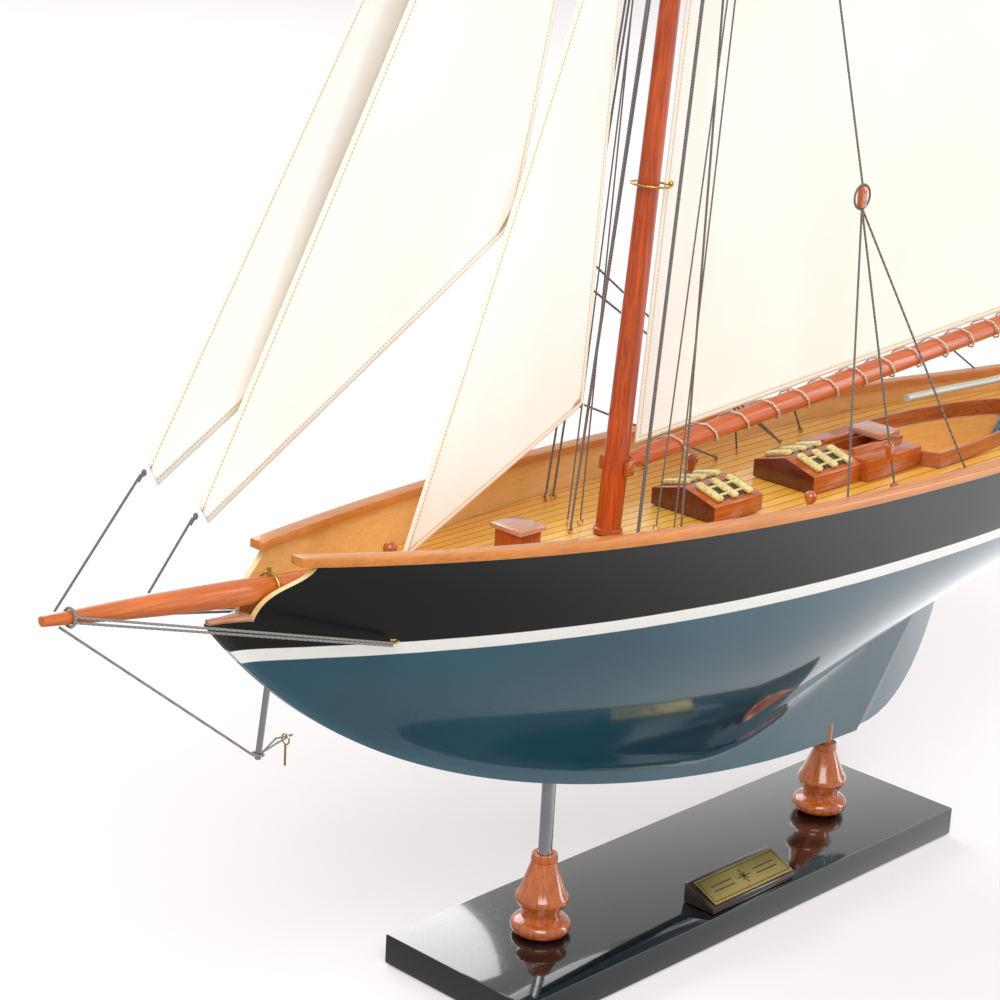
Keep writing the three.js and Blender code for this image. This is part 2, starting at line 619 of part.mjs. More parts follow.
// The crosstrees lie across the mast; shrouds end just under their tips.
function crosstrees() {
  const x = mastX(TREES_Z);
  const bars = solid(box(x - 5.5, x + 5.5, -TREES_HALF, TREES_HALF, TREES_Z, TREES_Z + 2));
  const hole = bar(mastAt(TREES_Z - 9), mastAt(TREES_Z + 9), mastRadius(TREES_Z) + GAP, undefined, 20);
  const notch = [solid(box(x - 9, x - 2.5, 5, 30, 0, 900)), solid(box(x - 9, x - 2.5, -30, -5, 0, 900))];
  return bars.subtract(solid(hole)).subtract(join(notch));
}

const treeEnd = (side) => v(mastX(TREES_Z) + 2.6, side * (TREES_HALF - 1.5), TREES_Z - GAP - 0.5);

function sparPieces() {
  const group = new THREE.Group();
  const mast = piece('mast', mastSolid(), 0xa3441c, 0.35);
  mast.rotation.set(Math.PI / 2, 0, 0);
  const leaning = new THREE.Group();
  leaning.add(mast);
  leaning.rotation.y = MAST_RAKE;
  leaning.position.set(MAST_X, 0, mastFoot);
  group.add(leaning);

  const jaws = solid(jaw(BOOM_Z, 5.5)).subtract(solid(box(boomFore - GAP, 60, -30, 30, 150, 260)));
  group.add(piece('gooseneck', jaws, 0x7c3a1a, 0.4));
  const stations = [boomFore, boomFore + 6, ...spread(boomFore + 40, BOOM_END_X - 3, 6), BOOM_END_X];
  const boom = loft(stations, (x) => Array.from({ length: 16 }, (_, i) => {
    const turn = i * Math.PI / 8;
    const radius = boomRadius(x) * (x === boomFore || x === BOOM_END_X ? 0.8 : 1);
    return v(x, -radius * Math.cos(turn), boomZ(x) + radius * Math.sin(turn));
  }));
  group.add(piece('boom', solid(boom), 0xa8481c, 0.38));

  group.add(piece('crosstrees', crosstrees(), 0x8f3d1c, 0.4));
  const gaff = bar(gaffAt(0), gaffAt(GAFF_LENGTH), GAFF_RADIUS, GAFF_RADIUS * 0.6, 14);
  const mastRoom = mastRadius(GAFF_Z) + GAP + 0.2;
  const clear = solid(bar(mastAt(GAFF_Z - 20), mastAt(GAFF_Z + 20), mastRoom, undefined, 24));
  group.add(piece('gaff', solid(gaff).add(solid(jaw(GAFF_Z, 4.5))).subtract(clear), 0xa3441c, 0.38));

  const centre = mastAt(HOOP_Z).add(v(1.5, 0, 0));
  const hoop = ring(centre, mastAxis, HOOP_RADIUS, HOOP_WIRE, 28, 8);
  const beadAt = centre.clone().add(v(HOOP_RADIUS * 0.78, -HOOP_RADIUS * 0.62, 0.4));
  const bead = new THREE.SphereGeometry(1.2, 10, 8).translate(beadAt.x, beadAt.y, beadAt.z);
  group.add(piece('mast_hoop', solid(hoop).add(solid(bead)), 0xb9974a, 0.3, 0.9));
  return group;
}

// ---------------------------------------------------------------- sails
const OUTER_JIB = { tack: v(-292, 0, 244.5), clew: v(-129.8, 8, 322), head: v(-54, 2.7, 632) };
const INNER_JIB = { tack: v(-270.5, 0, 225.5), clew: v(-124.6, 3, 302.6), head: v(-68, -2.5, 601) };
const STAYSAIL = { tack: v(-176.6, 0, 187.6), clew: v(-80, 4, 228.4), head: v(-75.4, 0, 445.5) };
const JIB_HOIST_Z = MAST_TOP_Z - 33;
const STAY_HOIST_Z = TREES_Z - 2;

const MAINSAIL = {
  tack: v(mastX(210) + LUFF_OFFSET, 0, boomZ(mastX(210) + LUFF_OFFSET) + BOOM_RADIUS + 1.6),
  clew: v(288, 0, boomZ(288) + BOOM_RADIUS + 1.6),
  throat: v(mastX(GAFF_Z - 6) + LUFF_OFFSET, 0, GAFF_Z - 6),
  peak: gaffAt(GAFF_LENGTH - 10).add(v(3.6, 0, -2.9)),
};
const TOPSAIL_HEAD_Z = MAST_TOP_Z - 16;
const TOPSAIL = {
  tack: gaffAt(9).add(v(-3.4, 0, 9)),
  clew: gaffAt(GAFF_LENGTH - 8).add(v(-3.4, 0, 3.2)),
  head: v(mastX(TOPSAIL_HEAD_Z) + LUFF_OFFSET - 2, 0, TOPSAIL_HEAD_Z),
};

// A flat sail with thickness across its plane, its corners in order.
function sailSolid(corners) {
  const normal = corners[1].clone().sub(corners[0]).cross(corners[2].clone().sub(corners[0])).normalize();
  const across = corners[1].clone().sub(corners[0]).normalize();
  const up = normal.clone().cross(across);
  const frame = new THREE.Matrix4().makeBasis(across, up, normal).setPosition(corners[0]);
  const back = frame.clone().invert();
  const flat = corners.map((corner) => corner.clone().applyMatrix4(back));
  const shape = outline(flat.map((corner) => [corner.x, corner.y]));
  const plate = new THREE.ExtrudeGeometry(shape, { depth: SAIL_THICK, bevelEnabled: false });
  return plate.translate(0, 0, -SAIL_THICK / 2).applyMatrix4(frame);
}

function sailPieces() {
  const group = new THREE.Group();
  const cloth = 0xf0e6cf;
  for (const [name, sail] of [['outer_jib', OUTER_JIB], ['inner_jib', INNER_JIB], ['staysail', STAYSAIL]]) {
    group.add(piece(name, sailSolid([sail.tack, sail.clew, sail.head]), cloth, 0.9));
  }
  const { tack, clew, peak, throat } = MAINSAIL;
  group.add(piece('mainsail', sailSolid([tack, clew, peak, throat]), cloth, 0.9));
  group.add(piece('topsail', sailSolid([TOPSAIL.tack, TOPSAIL.clew, TOPSAIL.head]), cloth, 0.9));
  return group;
}

// ---------------------------------------------------------------- deck furniture
const onDeck = (x, y = 0) => deckZ(x) + CAMBER + GAP - (y === 0 ? 0 : 0.1);

function skylight(x0, x1, half, wall, rise) {
  const low = Math.max(onDeck(x0), onDeck(x1));
  const gable = outline([[-half, 0], [half, 0], [half, wall], [0, wall + rise], [-half, wall]]);
  return new THREE.ExtrudeGeometry(gable, { depth: x1 - x0, bevelEnabled: false })
    .rotateX(Math.PI / 2).rotateZ(Math.PI / 2).translate(x0, 0, low);
}

function bollard(x, y) {
  const profile = new THREE.SplineCurve([[3.1, 0], [3.2, 0.8], [1.9, 2], [1.5, 4], [1.8, 5.6]]
    .map(([r, z]) => new THREE.Vector2(r, z)));
  const points = [new THREE.Vector2(0, 0), ...profile.getPoints(8)];
  for (let i = 1; i <= 7; i += 1) {
    const turn = -Math.PI / 3 + i * (Math.PI * 5 / 6) / 7;
    points.push(new THREE.Vector2(Math.max(0, 2.7 * Math.cos(turn)), 7.6 + 2.7 * Math.sin(turn)));
  }
  points[points.length - 1].x = 0;
  const item = new THREE.LatheGeometry(points, 14).rotateX(Math.PI / 2);
  return item.translate(x, y, onDeck(x));
}

function furniturePieces() {
  const group = new THREE.Group();
  const red = 0x8f3a20;
  const hatchX = -116;
  const floor = onDeck(hatchX - 7);
  group.add(piece('fore_hatch', box(hatchX - 5.6, hatchX + 5.6, -6.6, 6.6, floor, floor + 10), red, 0.4));
  const lid = box(hatchX - 7, hatchX + 7, -8, 8, floor + 10 + GAP, floor + 12.2);
  group.add(piece('fore_hatch_lid', lid, 0xa8685a, 0.45));
  group.add(piece('skylight_fore', skylight(-21.5, 8.5, 16.5, 7, 4.4), 0xa04a1e, 0.35));
  group.add(piece('skylight_aft', skylight(42.4, AFT_SKYLIGHT_END, 15.9, 7.5, 4.6), 0xa04a1e, 0.35));

  // the companionway: a low box with a slot down its middle, and a sliding lid that covers the slot's aft end
  const x0 = AFT_SKYLIGHT_END + GAP;
  const x1 = COCKPIT_FORE_X - GAP - 0.4;
  const low = onDeck(x0);
  let trunk = solid(box(x0, x1, -19, 19, low, low + 9));
  trunk = trunk.subtract(solid(box(x0 + 6, x1 - 3, -6, 6, low + 2, low + 20)));
  for (const side of [-1, 1]) {
    const runner = box(x0 + 3, x1, side > 0 ? 6.6 : -9, side > 0 ? 9 : -6.6, low + 8.5, low + 11.2);
    trunk = trunk.add(solid(runner));
  }
  group.add(piece('companion_trunk', trunk, 0x9a4a24, 0.4));
  const slide = box(x1 - 16, x1 - 2, -8.6, 8.6, low + 11.2 + GAP, low + 14.2);
  group.add(piece('sliding_hatch', slide, 0xa8604a, 0.4));

  const top = deckZ(COCKPIT_FORE_X) + COAMING_HEIGHT;
  const ringPlan = cockpitPlan(0);
  ringPlan.holes.push(cockpitPlan(COAMING_WALL));
  const aroundDeck = standing(ringPlan, deckZ(COCKPIT_AFT_X) - 2, top);
  const under = loft(spread(COCKPIT_FORE_X - 5, COCKPIT_AFT_X + 5, 12), (x) => {
    const half = sheerHalf(x);
    const points = [];
    for (let i = 0; i <= 6; i += 1) {
      const across = 1 - i / 3;
      const edge = hullHalf(x, deckZ(x)) - WALL;
      const y = edge * across;
      points.push(v(x, y, deckZ(x) + CAMBER * (1 - across * across) + GAP));
    }
    points.push(v(x, -half, deckZ(x) - 30), v(x, half, deckZ(x) - 30));
    return points.reverse();
  });
  group.add(piece('cockpit_coaming', solid(aroundDeck).subtract(solid(under)), 0xa0502a, 0.38));
  const sole = standing(cockpitPlan(COAMING_WALL + 2 * GAP), soleZ - DECK_THICK, soleZ);
  const stockHole = bar(stockAt(150), stockAt(STOCK_HEAD_Z), STOCK_RADIUS + STOCK_CLEARANCE, undefined, 16);
  group.add(piece('cockpit_sole', solid(sole).subtract(solid(stockHole)), 0xc9a08c, 0.5));

  const midX = 20.5;
  const midY = 0.54 * (hullHalf(midX, deckZ(midX)) - WALL);
  const places = [['fore_port', -168, -14], ['fore_starboard', -168, 14], ['mid_port', midX, -midY],
    ['mid_starboard', midX, midY]];
  for (const [name, x, y] of places) group.add(piece(`bollard_${name}`, bollard(x, y), red, 0.3));
  return group;
}

// ---------------------------------------------------------------- rigging
const deckEye = (x, y) => {
  const across = y / (hullHalf(x, deckZ(x)) - WALL);
  return v(x, y, deckZ(x) + CAMBER * (1 - across * across) + GAP + 0.7);
};

// An eye on the side deck, at a share of the way from the centre to the bulwark.
const sideEye = (x, side, share) => deckEye(x, side * share * (hullHalf(x, deckZ(x)) - WALL));

// A point short of another by a distance, on the way from a third.
const shortOf = (target, from, distance) => target.clone()
  .addScaledVector(from.clone().sub(target).normalize(), distance);

// A runner comes from the mast to a block, and three tails fan out from the block to the side deck.
const RUNNER_BLOCK = { x: 30.2, y: 35.05, z: 302, height: 7.2 };
const STROP_RADIUS = 4.9;

function runner(side) {
  const { x, y, z } = RUNNER_BLOCK;
  const top = besideMast(600, side < 0 ? 115 : 245);
  const strop = ring(v(x, side * y, z), v(0, 1, 0), STROP_RADIUS, LINE_RADIUS, 16, 6);
  const feet = [sideEye(16, side, 0.928), sideEye(64, side, 0.726), sideEye(112, side, 0.787)];
  const parts = [solid(bar(top, v(x - 0.3, side * y, z + STROP_RADIUS - 0.7), LINE_RADIUS)), solid(strop)];
  const low = v(x + 0.4, side * y, z - STROP_RADIUS + 0.6);
  for (const foot of feet) parts.push(solid(bar(low, foot, LINE_RADIUS)));
  return join(parts);
}

function runnerBlock(side) {
  const { x, y, z, height } = RUNNER_BLOCK;
  return box(-1.9, 1.9, -1.3, 1.3, -height / 2, height / 2).translate(x, side * y, z);
}

function riggingPieces() {
  const group = new THREE.Group();
  const grey = 0x5b5651;
  const pale = 0x8d8c88;
  const add = (name, shape, color = grey) => group.add(piece(name, shape, color, 0.8));

  const clear = SAIL_THICK + 0.8;
  const outerTack = shortOf(OUTER_JIB.tack, overSprit(-327), clear);
  add('outer_jib_tack_line', thread([overSprit(SPRIT_TIP.x + 5), outerTack]), pale);
  const innerTack = shortOf(INNER_JIB.tack, overSprit(-289.6), clear);
  add('inner_jib_tack_line', thread([overSprit(-289.6), innerTack]), pale);
  const jibTop = besideMast(JIB_HOIST_Z, 20);
  add('jib_halyards', join([
    thread([shortOf(OUTER_JIB.head, jibTop, clear), besideMast(JIB_HOIST_Z, 0)]),
    thread([shortOf(INNER_JIB.head, jibTop, clear), besideMast(JIB_HOIST_Z, 0)]),
  ]));
  const stayTop = besideMast(STAY_HOIST_Z, 0);
  add('staysail_halyard', thread([shortOf(STAYSAIL.head, stayTop, clear), stayTop]));
  const stayFoot = deckEye(-178, 0);
  add('staysail_tack_line', thread([stayFoot, shortOf(STAYSAIL.tack, stayFoot, clear)]));

  // a whipping near the bowsprit's tip holds two stays a side, each ending at the hull's eye
  const whip = spritAt(whippingX);
  const around = spritRadius(whippingX) + GAP + LINE_RADIUS;
  const stays = [solid(ring(whip, v(1, 0, -SPRIT_SLOPE), around, LINE_RADIUS + 0.1, 18, 6))];
  for (const side of [-1, 1]) {
    for (const lift of [-0.9, 0.9]) {
      const eye = hullEye(side).add(v(-2.6, side * 1.5, lift * 0.5));
      stays.push(solid(bar(whip.clone().add(v(0, side * around, lift)), eye, LINE_RADIUS)));
    }
  }
  add('bowsprit_stays', join(stays), pale);

  // the bobstay runs to the striker's tip, goes round it and ends in a small open loop
  const knot = STRIKER_TIP.clone().add(v(-1.15 - LINE_RADIUS - GAP, 0, 1.8));
  const fromTip = (x, z) => STRIKER_TIP.clone().add(v(x, 0, z));
  const ringRadius = 1.15 + GAP + LINE_RADIUS + 0.1;
  const tipRing = ring(fromTip(0, 1.8), v(0.15, 0, 1), ringRadius, LINE_RADIUS, 14, 6);
  const tail = [[1.9, 1.8], [8, 5.4], [15.4, 4.8], [9, 3.6], [1.9, 1.8]].map(([x, z]) => fromTip(x, z));
  add('bobstay', join([thread([underSprit(whippingX - 4), knot]), solid(tipRing), thread(tail, 0.35)]), pale);

  // lines by the mast
  const wire = besideMast(TREES_Z - 10, 330);
  const foreFoot = deckEye(-77.7, 8.4);
  add('fore_halyards', join([thread([foreFoot, wire]), thread([foreFoot, besideMast(470, 320)])]));
  const pairFoot = deckEye(-41.3, -16.4);
  add('port_shrouds', join([
    thread([pairFoot, treeEnd(-1)]),
    thread([deckEye(-58.4, -9.2), treeEnd(-1)], THICK_LINE_RADIUS),
  ]));
  const starFoot = sideEye(-52.5, 1, 0.87);
  add('starboard_shrouds', join([
    thread([starFoot, treeEnd(1)]),
    thread([sideEye(-48, 1, 0.86), treeEnd(1)]),
  ]));

  for (const [name, side] of [['port', -1], ['starboard', 1]]) {
    add(`runner_${name}`, runner(side));
    group.add(piece(`runner_block_${name}`, runnerBlock(side), 0x9a4a24, 0.5));
  }

  // sheets to the starboard side deck
  const jibFoot = sideEye(90, 1, 0.676);
  add('jib_sheets', join([
    thread([shortOf(OUTER_JIB.clew, jibFoot, clear), jibFoot]),
    thread([shortOf(INNER_JIB.clew, jibFoot, clear), jibFoot]),
  ]));
  const stayEye = sideEye(50, 1, 0.726);
  add('staysail_sheet', thread([shortOf(STAYSAIL.clew, stayEye, clear), stayEye]));

  // the mainsheet comes from under the boom to the starboard rail
  const sheetX = 158;
  const railX = 236;
  const railPoint = v(railX + 1.5, sheerHalf(railX) - 1.6, sheerZ(railX) + RAIL_THICK + 2 * GAP + 0.6);
  const under = boomAt(sheetX).add(v(0, 0, -boomRadius(sheetX) - GAP - LINE_RADIUS - 0.15));
  add('mainsheet', thread([under, railPoint]));

  const peakFrom = gaffAt(GAFF_LENGTH * 0.62).add(v(0, -GAFF_RADIUS * 0.8 - GAP - LINE_RADIUS, 0));
  add('peak_halyard', thread([peakFrom, besideMast(640, 100)]));

  // the mainsail's foot is laced to the boom by one spiral thread
  const turns = 17;
  const first = boomFore + 14;
  const last = BOOM_END_X - 16;
  class Spiral extends THREE.Curve {
    getPoint(t, target = v(0, 0, 0)) {
      const x = first + (last - first) * t;
      const reach = boomRadius(x) + GAP + 0.62;
      const turn = 2 * Math.PI * turns * t;
      return target.set(x, reach * Math.sin(turn), boomZ(x) - reach * Math.cos(turn));
    }
  }
  const section = new THREE.Shape().absarc(0, 0, 0.4, 0, 2 * Math.PI);
  const settings = { steps: turns * 8, extrudePath: new Spiral(), curveSegments: 3 };
  const lacing = new THREE.ExtrudeGeometry(section, settings);
  add('foot_lacing', lacing, 0xe8dcc4);
  return group;
}

// a spare eye pin hangs in the bobstay's loop
function eyePin() {
  const loop = ring(STRIKER_TIP.clone().add(v(12.6, 0, 4)), v(1, 0, 0), 1.9, 0.3, 14, 6);
  const shank = bar(STRIKER_TIP.clone().add(v(12.6, 0, 2.3)), STRIKER_TIP.clone().add(v(12.6, 0, -6)), 0.4);
  return piece('spare_eye_pin', solid(loop).add(solid(shank)), 0xb9974a, 0.3, 0.9);
}

// ---------------------------------------------------------------- assembly
const model = new THREE.Group();
model.add(standPieces(), hullPieces(), bowPieces(), sparPieces());
model.add(sailPieces(), furniturePieces(), riggingPieces());
model.add(piece('rudder', rudderSolid(), 0x2c5f6c, 0.2));
model.add(piece('tiller', tillerSolid(), 0xb9bcb8, 0.35, 0.6));
model.add(eyePin());

export default model;
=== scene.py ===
import math

import bmesh
import bpy
from mathutils import Matrix, Vector


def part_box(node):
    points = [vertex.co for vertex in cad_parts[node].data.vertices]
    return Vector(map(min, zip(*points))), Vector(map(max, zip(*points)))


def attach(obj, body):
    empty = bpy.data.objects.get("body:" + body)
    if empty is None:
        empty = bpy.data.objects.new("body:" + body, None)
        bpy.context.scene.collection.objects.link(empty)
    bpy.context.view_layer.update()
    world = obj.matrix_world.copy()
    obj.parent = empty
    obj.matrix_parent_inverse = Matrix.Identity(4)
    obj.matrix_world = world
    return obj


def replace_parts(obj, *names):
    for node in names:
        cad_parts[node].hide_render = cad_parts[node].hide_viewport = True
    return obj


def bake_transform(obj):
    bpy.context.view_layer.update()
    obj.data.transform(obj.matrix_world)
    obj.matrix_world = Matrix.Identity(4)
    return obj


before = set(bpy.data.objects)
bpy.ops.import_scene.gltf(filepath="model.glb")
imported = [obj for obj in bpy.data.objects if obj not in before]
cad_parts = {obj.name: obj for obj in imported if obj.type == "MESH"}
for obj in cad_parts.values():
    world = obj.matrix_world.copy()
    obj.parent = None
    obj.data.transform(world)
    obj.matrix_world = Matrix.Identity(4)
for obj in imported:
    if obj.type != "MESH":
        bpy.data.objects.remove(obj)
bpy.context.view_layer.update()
MM = 0.001

# Camera: it looks down at the port bow from a little above the deck, through a long lens,
# held with a slight roll. It is aimed at a point over the fore end of the base board.
AZIMUTH, ELEVATION, ROLL = (math.radians(a) for a in (-46.73, 18.48, 3.11))
TARGET = Vector((-0.1264, 0.0, 0.1979))
DISTANCE = 0.976
level = Vector((math.cos(AZIMUTH), math.sin(AZIMUTH), 0))
outward = Vector((math.sin(AZIMUTH), -math.cos(AZIMUTH), 0))
back = outward * math.cos(ELEVATION) + Vector((0, 0, math.sin(ELEVATION)))
upright = back.cross(level)
right = level * math.cos(ROLL) + upright * math.sin(ROLL)
above = upright * math.cos(ROLL) - level * math.sin(ROLL)
lens = bpy.data.cameras.new("lens")
lens.lens = 96.1
lens.sensor_width = 36
lens.shift_y = 0.008
lens.clip_start = 0.05
camera = bpy.data.objects.new("camera", lens)
bpy.context.scene.collection.objects.link(camera)
axes = Matrix((right, above, back)).transposed().to_4x4()
camera.matrix_world = Matrix.Translation(TARGET + back * DISTANCE) @ axes
bpy.context.scene.camera = camera


# Studio: a pale floor under soft lights, one large and high on the port bow side,
# one wide on the starboard side that whitens the sails, and a low strip behind.
class Value:
    """A node's output that can be added, multiplied and so on."""

    def __init__(self, look, socket):
        self.look, self.socket = look, socket

    def math(self, operation, first, second=None):
        values = {0: first} if second is None else {0: first, 1: second}
        return self.look.node("ShaderNodeMath", {"operation": operation}, values)

    def __add__(self, other):
        return self.math("ADD", self, other)

    __radd__ = __add__

    def __sub__(self, other):
        return self.math("SUBTRACT", self, other)

    def __rsub__(self, other):
        return self.math("SUBTRACT", other, self)

    def __mul__(self, other):
        return self.math("MULTIPLY", self, other)

    __rmul__ = __mul__

    def __truediv__(self, other):
        return self.math("DIVIDE", self, other)

    def abs(self):
        return self.math("ABSOLUTE", self)

    def wave(self):
        return self.math("FRACT", self)

    def step(self, low, high):
        """0 below low, 1 above high, smooth between."""
        settings = {"interpolation_type": "SMOOTHSTEP"}
        return self.look.node("ShaderNodeMapRange", settings, {0: self, 1: low, 2: high})


class Look:
    """A material with a Principled shader, and the nodes that feed it."""

    def __init__(self, name, **fixed):
        self.material = bpy.data.materials.new(name)
        self.material.use_nodes = True
        self.tree = self.material.node_tree
        self.shader = self.tree.nodes["Principled BSDF"]
        for socket, value in fixed.items():
            self.shader.inputs[socket.replace("_", " ").title().replace("Ior", "IOR")].default_value = value

    def node(self, kind, settings=None, values=None, out=0):
        made = self.tree.nodes.new(kind)
        for name, value in (settings or {}).items():
            setattr(made, name, value)
        for socket, value in (values or {}).items():
            if isinstance(value, Value):
                self.tree.links.new(value.socket, made.inputs[socket])
            else:
                made.inputs[socket].default_value = value
        return Value(self, made.outputs[out])

    def place(self, scale=(1, 1, 1), turn=(0, 0, 0), shift=(0, 0, 0)):
        """Object coordinates, scaled and turned."""
        coordinates = self.node("ShaderNodeTexCoord", out="Object")
        values = {"Vector": coordinates, "Scale": scale, "Rotation": turn, "Location": shift}
        return self.node("ShaderNodeMapping", {"vector_type": "POINT"}, values)

    def noise(self, vector, scale, detail=3.0, rough=0.5):
        values = {"Vector": vector, "Scale": scale, "Detail": detail, "Roughness": rough}
        return self.node("ShaderNodeTexNoise", None, values, "Fac")

    def xyz(self, vector):
        split = self.node("ShaderNodeSeparateXYZ", None, {0: vector})
        return [Value(self, split.socket.node.outputs[i]) for i in range(3)]

    def mix(self, factor, first, second):
        return self.node("ShaderNodeMix", {"data_type": "RGBA"}, {0: factor, 6: first, 7: second}, 2)

    def bump(self, height, distance, strength=1.0):
        values = {"Height": height, "Distance": distance, "Strength": strength}
        return self.node("ShaderNodeBump", None, values)

    def finish(self, **links):
        for socket, value in links.items():
            name = socket.replace("_", " ").title()
            self.tree.links.new(value.socket, self.shader.inputs[name])
        return self.material


def paint(code):
    """A linear colour from a hex code."""
    parts = [int(code[i:i + 2], 16) / 255 for i in (0, 2, 4)]
    return (*[p / 12.92 if p <= 0.04045 else ((p + 0.055) / 1.055) ** 2.4 for p in parts], 1.0)


def floor_look():
    look = Look("pale_paper", roughness=0.8)
    x, _, _ = look.xyz(look.place())
    tone = look.noise(look.place(), 9.0)
    light = look.node("ShaderNodeLightPath")
    seen = Value(look, light.socket.node.outputs["Is Camera Ray"])
    mirrored = Value(look, light.socket.node.outputs["Is Glossy Ray"])
    sheet = look.mix(tone, paint("d6d3d3"), paint("d0cdcd"))
    # The floor glows evenly pale to the camera. In reflections its own colour is dark, and it glows faint toward
    # -x and bright toward +x: a painted reflection for the glossy hull and board.
    far = look.mix(x.step(-0.25, 0.7), (0.12, 0.125, 0.13, 1), (1.7, 1.7, 1.7, 1))
    glow = look.mix(seen, look.mix(mirrored, (0, 0, 0, 1), far), (0.3, 0.275, 0.278, 1))
    look.shader.inputs["Emission Strength"].default_value = 1.0
    return look.finish(base_color=look.mix(mirrored, sheet, (0.1, 0.1, 0.1, 1)), emission_color=glow)


bpy.ops.object.select_all(action="DESELECT")
bpy.ops.mesh.primitive_plane_add(size=9, location=(0, 0, -0.0006))
floor = bpy.context.object
floor.name = "floor"
floor.data.materials.append(floor_look())


def soft_light(name, place, aim, size, power, tint):
    data = bpy.data.lights.new(name, "AREA")
    data.shape = "RECTANGLE"
    data.size, data.size_y = size
    data.energy = power
    data.color = tint
    lamp = bpy.data.objects.new(name, data)
    bpy.context.scene.collection.objects.link(lamp)
    lamp.location = place
    lamp.rotation_euler = (Vector(aim) - Vector(place)).to_track_quat("-Z", "Y").to_euler()


soft_light("key", (-1.3, -1.2, 2.0), (0, 0, 0.2), (1.5, 1.5), 40, (1, 0.985, 0.96))
soft_light("fill", (0.6, 2.2, 1.6), (0, 0, 0.3), (1.8, 1.4), 25, (1, 1, 1))
soft_light("stern_strip", (1.9, -1.4, 0.9), (0.1, 0, 0.15), (0.5, 1.6), 14, (0.95, 0.98, 1))
world = bpy.data.worlds.new("studio")
bpy.context.scene.world = world
world.use_nodes = True
world.node_tree.nodes["Background"].inputs[0].default_value = (1, 0.995, 0.99, 1)
world.node_tree.nodes["Background"].inputs[1].default_value = 0.68
bpy.context.scene.view_settings.view_transform = "Standard"


# Base board: a rectangle of wood under deep black lacquer, polished, with faint
# dust and an orange-peel ripple in the coat. The four edges are eased.
def lacquer_look():
    look = Look("black_lacquer", roughness=0.1, coat_weight=1.0, coat_roughness=0.04, coat_ior=1.7)
    ripple = look.noise(look.place(), 160.0, 2.0)
    dust = look.noise(look.place(), 900.0, 5.0).step(0.56, 0.75)
    cloud = look.noise(look.place(), 14.0)
    color = look.mix(dust * 0.25, paint("0a0a0b"), paint("2b2b2c"))
    return look.finish(base_color=color, roughness=cloud * 0.09 + dust * 0.2 + 0.06,
                       normal=look.bump(ripple, 0.00003))


def smooth_twin(node, name, body, material, angle=38, bevel=0.0):
    """A merged copy of a CAD node, its faces smooth up to an angle, its edges eased."""
    piece = bpy.data.objects.new(name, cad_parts[node].data.copy())
    bpy.context.scene.collection.objects.link(piece)
    piece.data.materials.clear()
    piece.data.materials.append(material)
    bpy.ops.object.select_all(action="DESELECT")
    bpy.context.view_layer.objects.active = piece
    piece.select_set(True)
    bpy.ops.mesh.customdata_custom_splitnormals_clear()
    bpy.ops.object.mode_set(mode="EDIT")
    bpy.ops.mesh.select_all(action="SELECT")
    bpy.ops.mesh.remove_doubles(threshold=2e-6)
    bpy.ops.mesh.dissolve_limited(angle_limit=math.radians(0.4))
    bpy.ops.object.mode_set(mode="OBJECT")
    if bevel:
        ease = piece.modifiers.new("ease", "BEVEL")
        ease.width = bevel
        ease.segments = 2
        ease.limit_method = "ANGLE"
        ease.angle_limit = math.radians(30)
        ease.use_clamp_overlap = True
        bpy.ops.object.modifier_apply(modifier="ease")
    bpy.ops.object.shade_smooth_by_angle(angle=math.radians(angle))
    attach(piece, body)
    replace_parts(piece, node)
    return piece


smooth_twin("base_board", "lacquered_board", "stand", lacquer_look())


# Pedestals: turned hardwood, varnished orange-brown until it shines, grain upright.
# The fore one is bored for the steel rod; the after one keeps its own spigot.
UPRIGHT = (1, 1, 0.02)
FORE_AND_AFT = (0.02, 1, 1)


def varnished_wood(name, pale, deep, grain=1100.0, along=UPRIGHT, turn=0.0,
                   gloss=0.28, coat=0.5, contrast=0.65):
    """Streaked wood under varnish; along says how much each axis is stretched."""
    look = Look(name, roughness=gloss, coat_weight=coat, coat_roughness=0.08)
    vector = look.place(tuple(grain * a for a in along), (0, turn, 0))
    streak = look.noise(vector, 0.8, 4.0, 0.6)
    pore = look.noise(vector, 2.1, 2.0).step(0.62, 0.72)
    broad = look.noise(look.place(tuple(25 + 45 * a for a in along), (0, turn, 0)), 1.0, 2.0)
    tone = look.mix(streak.step(0.3, 0.7) * contrast, paint(pale), paint(deep))
    tone = look.mix(broad.step(0.35, 0.75) * contrast * 0.5, tone, paint(deep))
    tone = look.mix(pore * 0.5 * contrast, tone, tuple(c * 0.35 for c in paint(deep)[:3]) + (1,))
    rough = streak * 0.12 + (gloss - 0.06) + pore * 0.12
    return look.finish(base_color=tone, roughness=rough, normal=look.bump(streak - pore * 0.5, 0.00005))


turned = varnished_wood("turned_wood", "c66628", "8a3c14", 900, UPRIGHT, gloss=0.16, coat=0.9)
smooth_twin("pedestal_front", "turned_post_fore", "stand", turned, 32)
smooth_twin("pedestal_rear", "turned_post_aft", "stand", turned, 32)


# Support rod: drawn steel, with the fine rings that drawing and polishing leave. It stands
# in the fore pedestal and goes into the keel. The dolphin striker is the same steel.
def metal_look(name, tone, dark, rough, stretch=(1, 1, 1), scale=1500.0):
    look = Look(name, metallic=1.0)
    lines = look.noise(look.place(tuple(scale * s for s in stretch)), 1.0, 3.0, 0.6)
    stain = look.noise(look.place(), 120.0, 4.0).step(0.5, 0.8)
    color = look.mix(lines * 0.35 + stain * 0.35, paint(tone), paint(dark))
    return look.finish(base_color=color, roughness=lines * 0.18 + stain * 0.12 + rough,
                       normal=look.bump(lines, 0.00002))


steel = metal_look("drawn_steel", "d5d6d8", "9da0a4", 0.14, (0.08, 0.08, 1))
smooth_twin("support_rod", "steel_rod", "stand", steel)
smooth_twin("dolphin_striker", "striker_rod", "ship", steel)


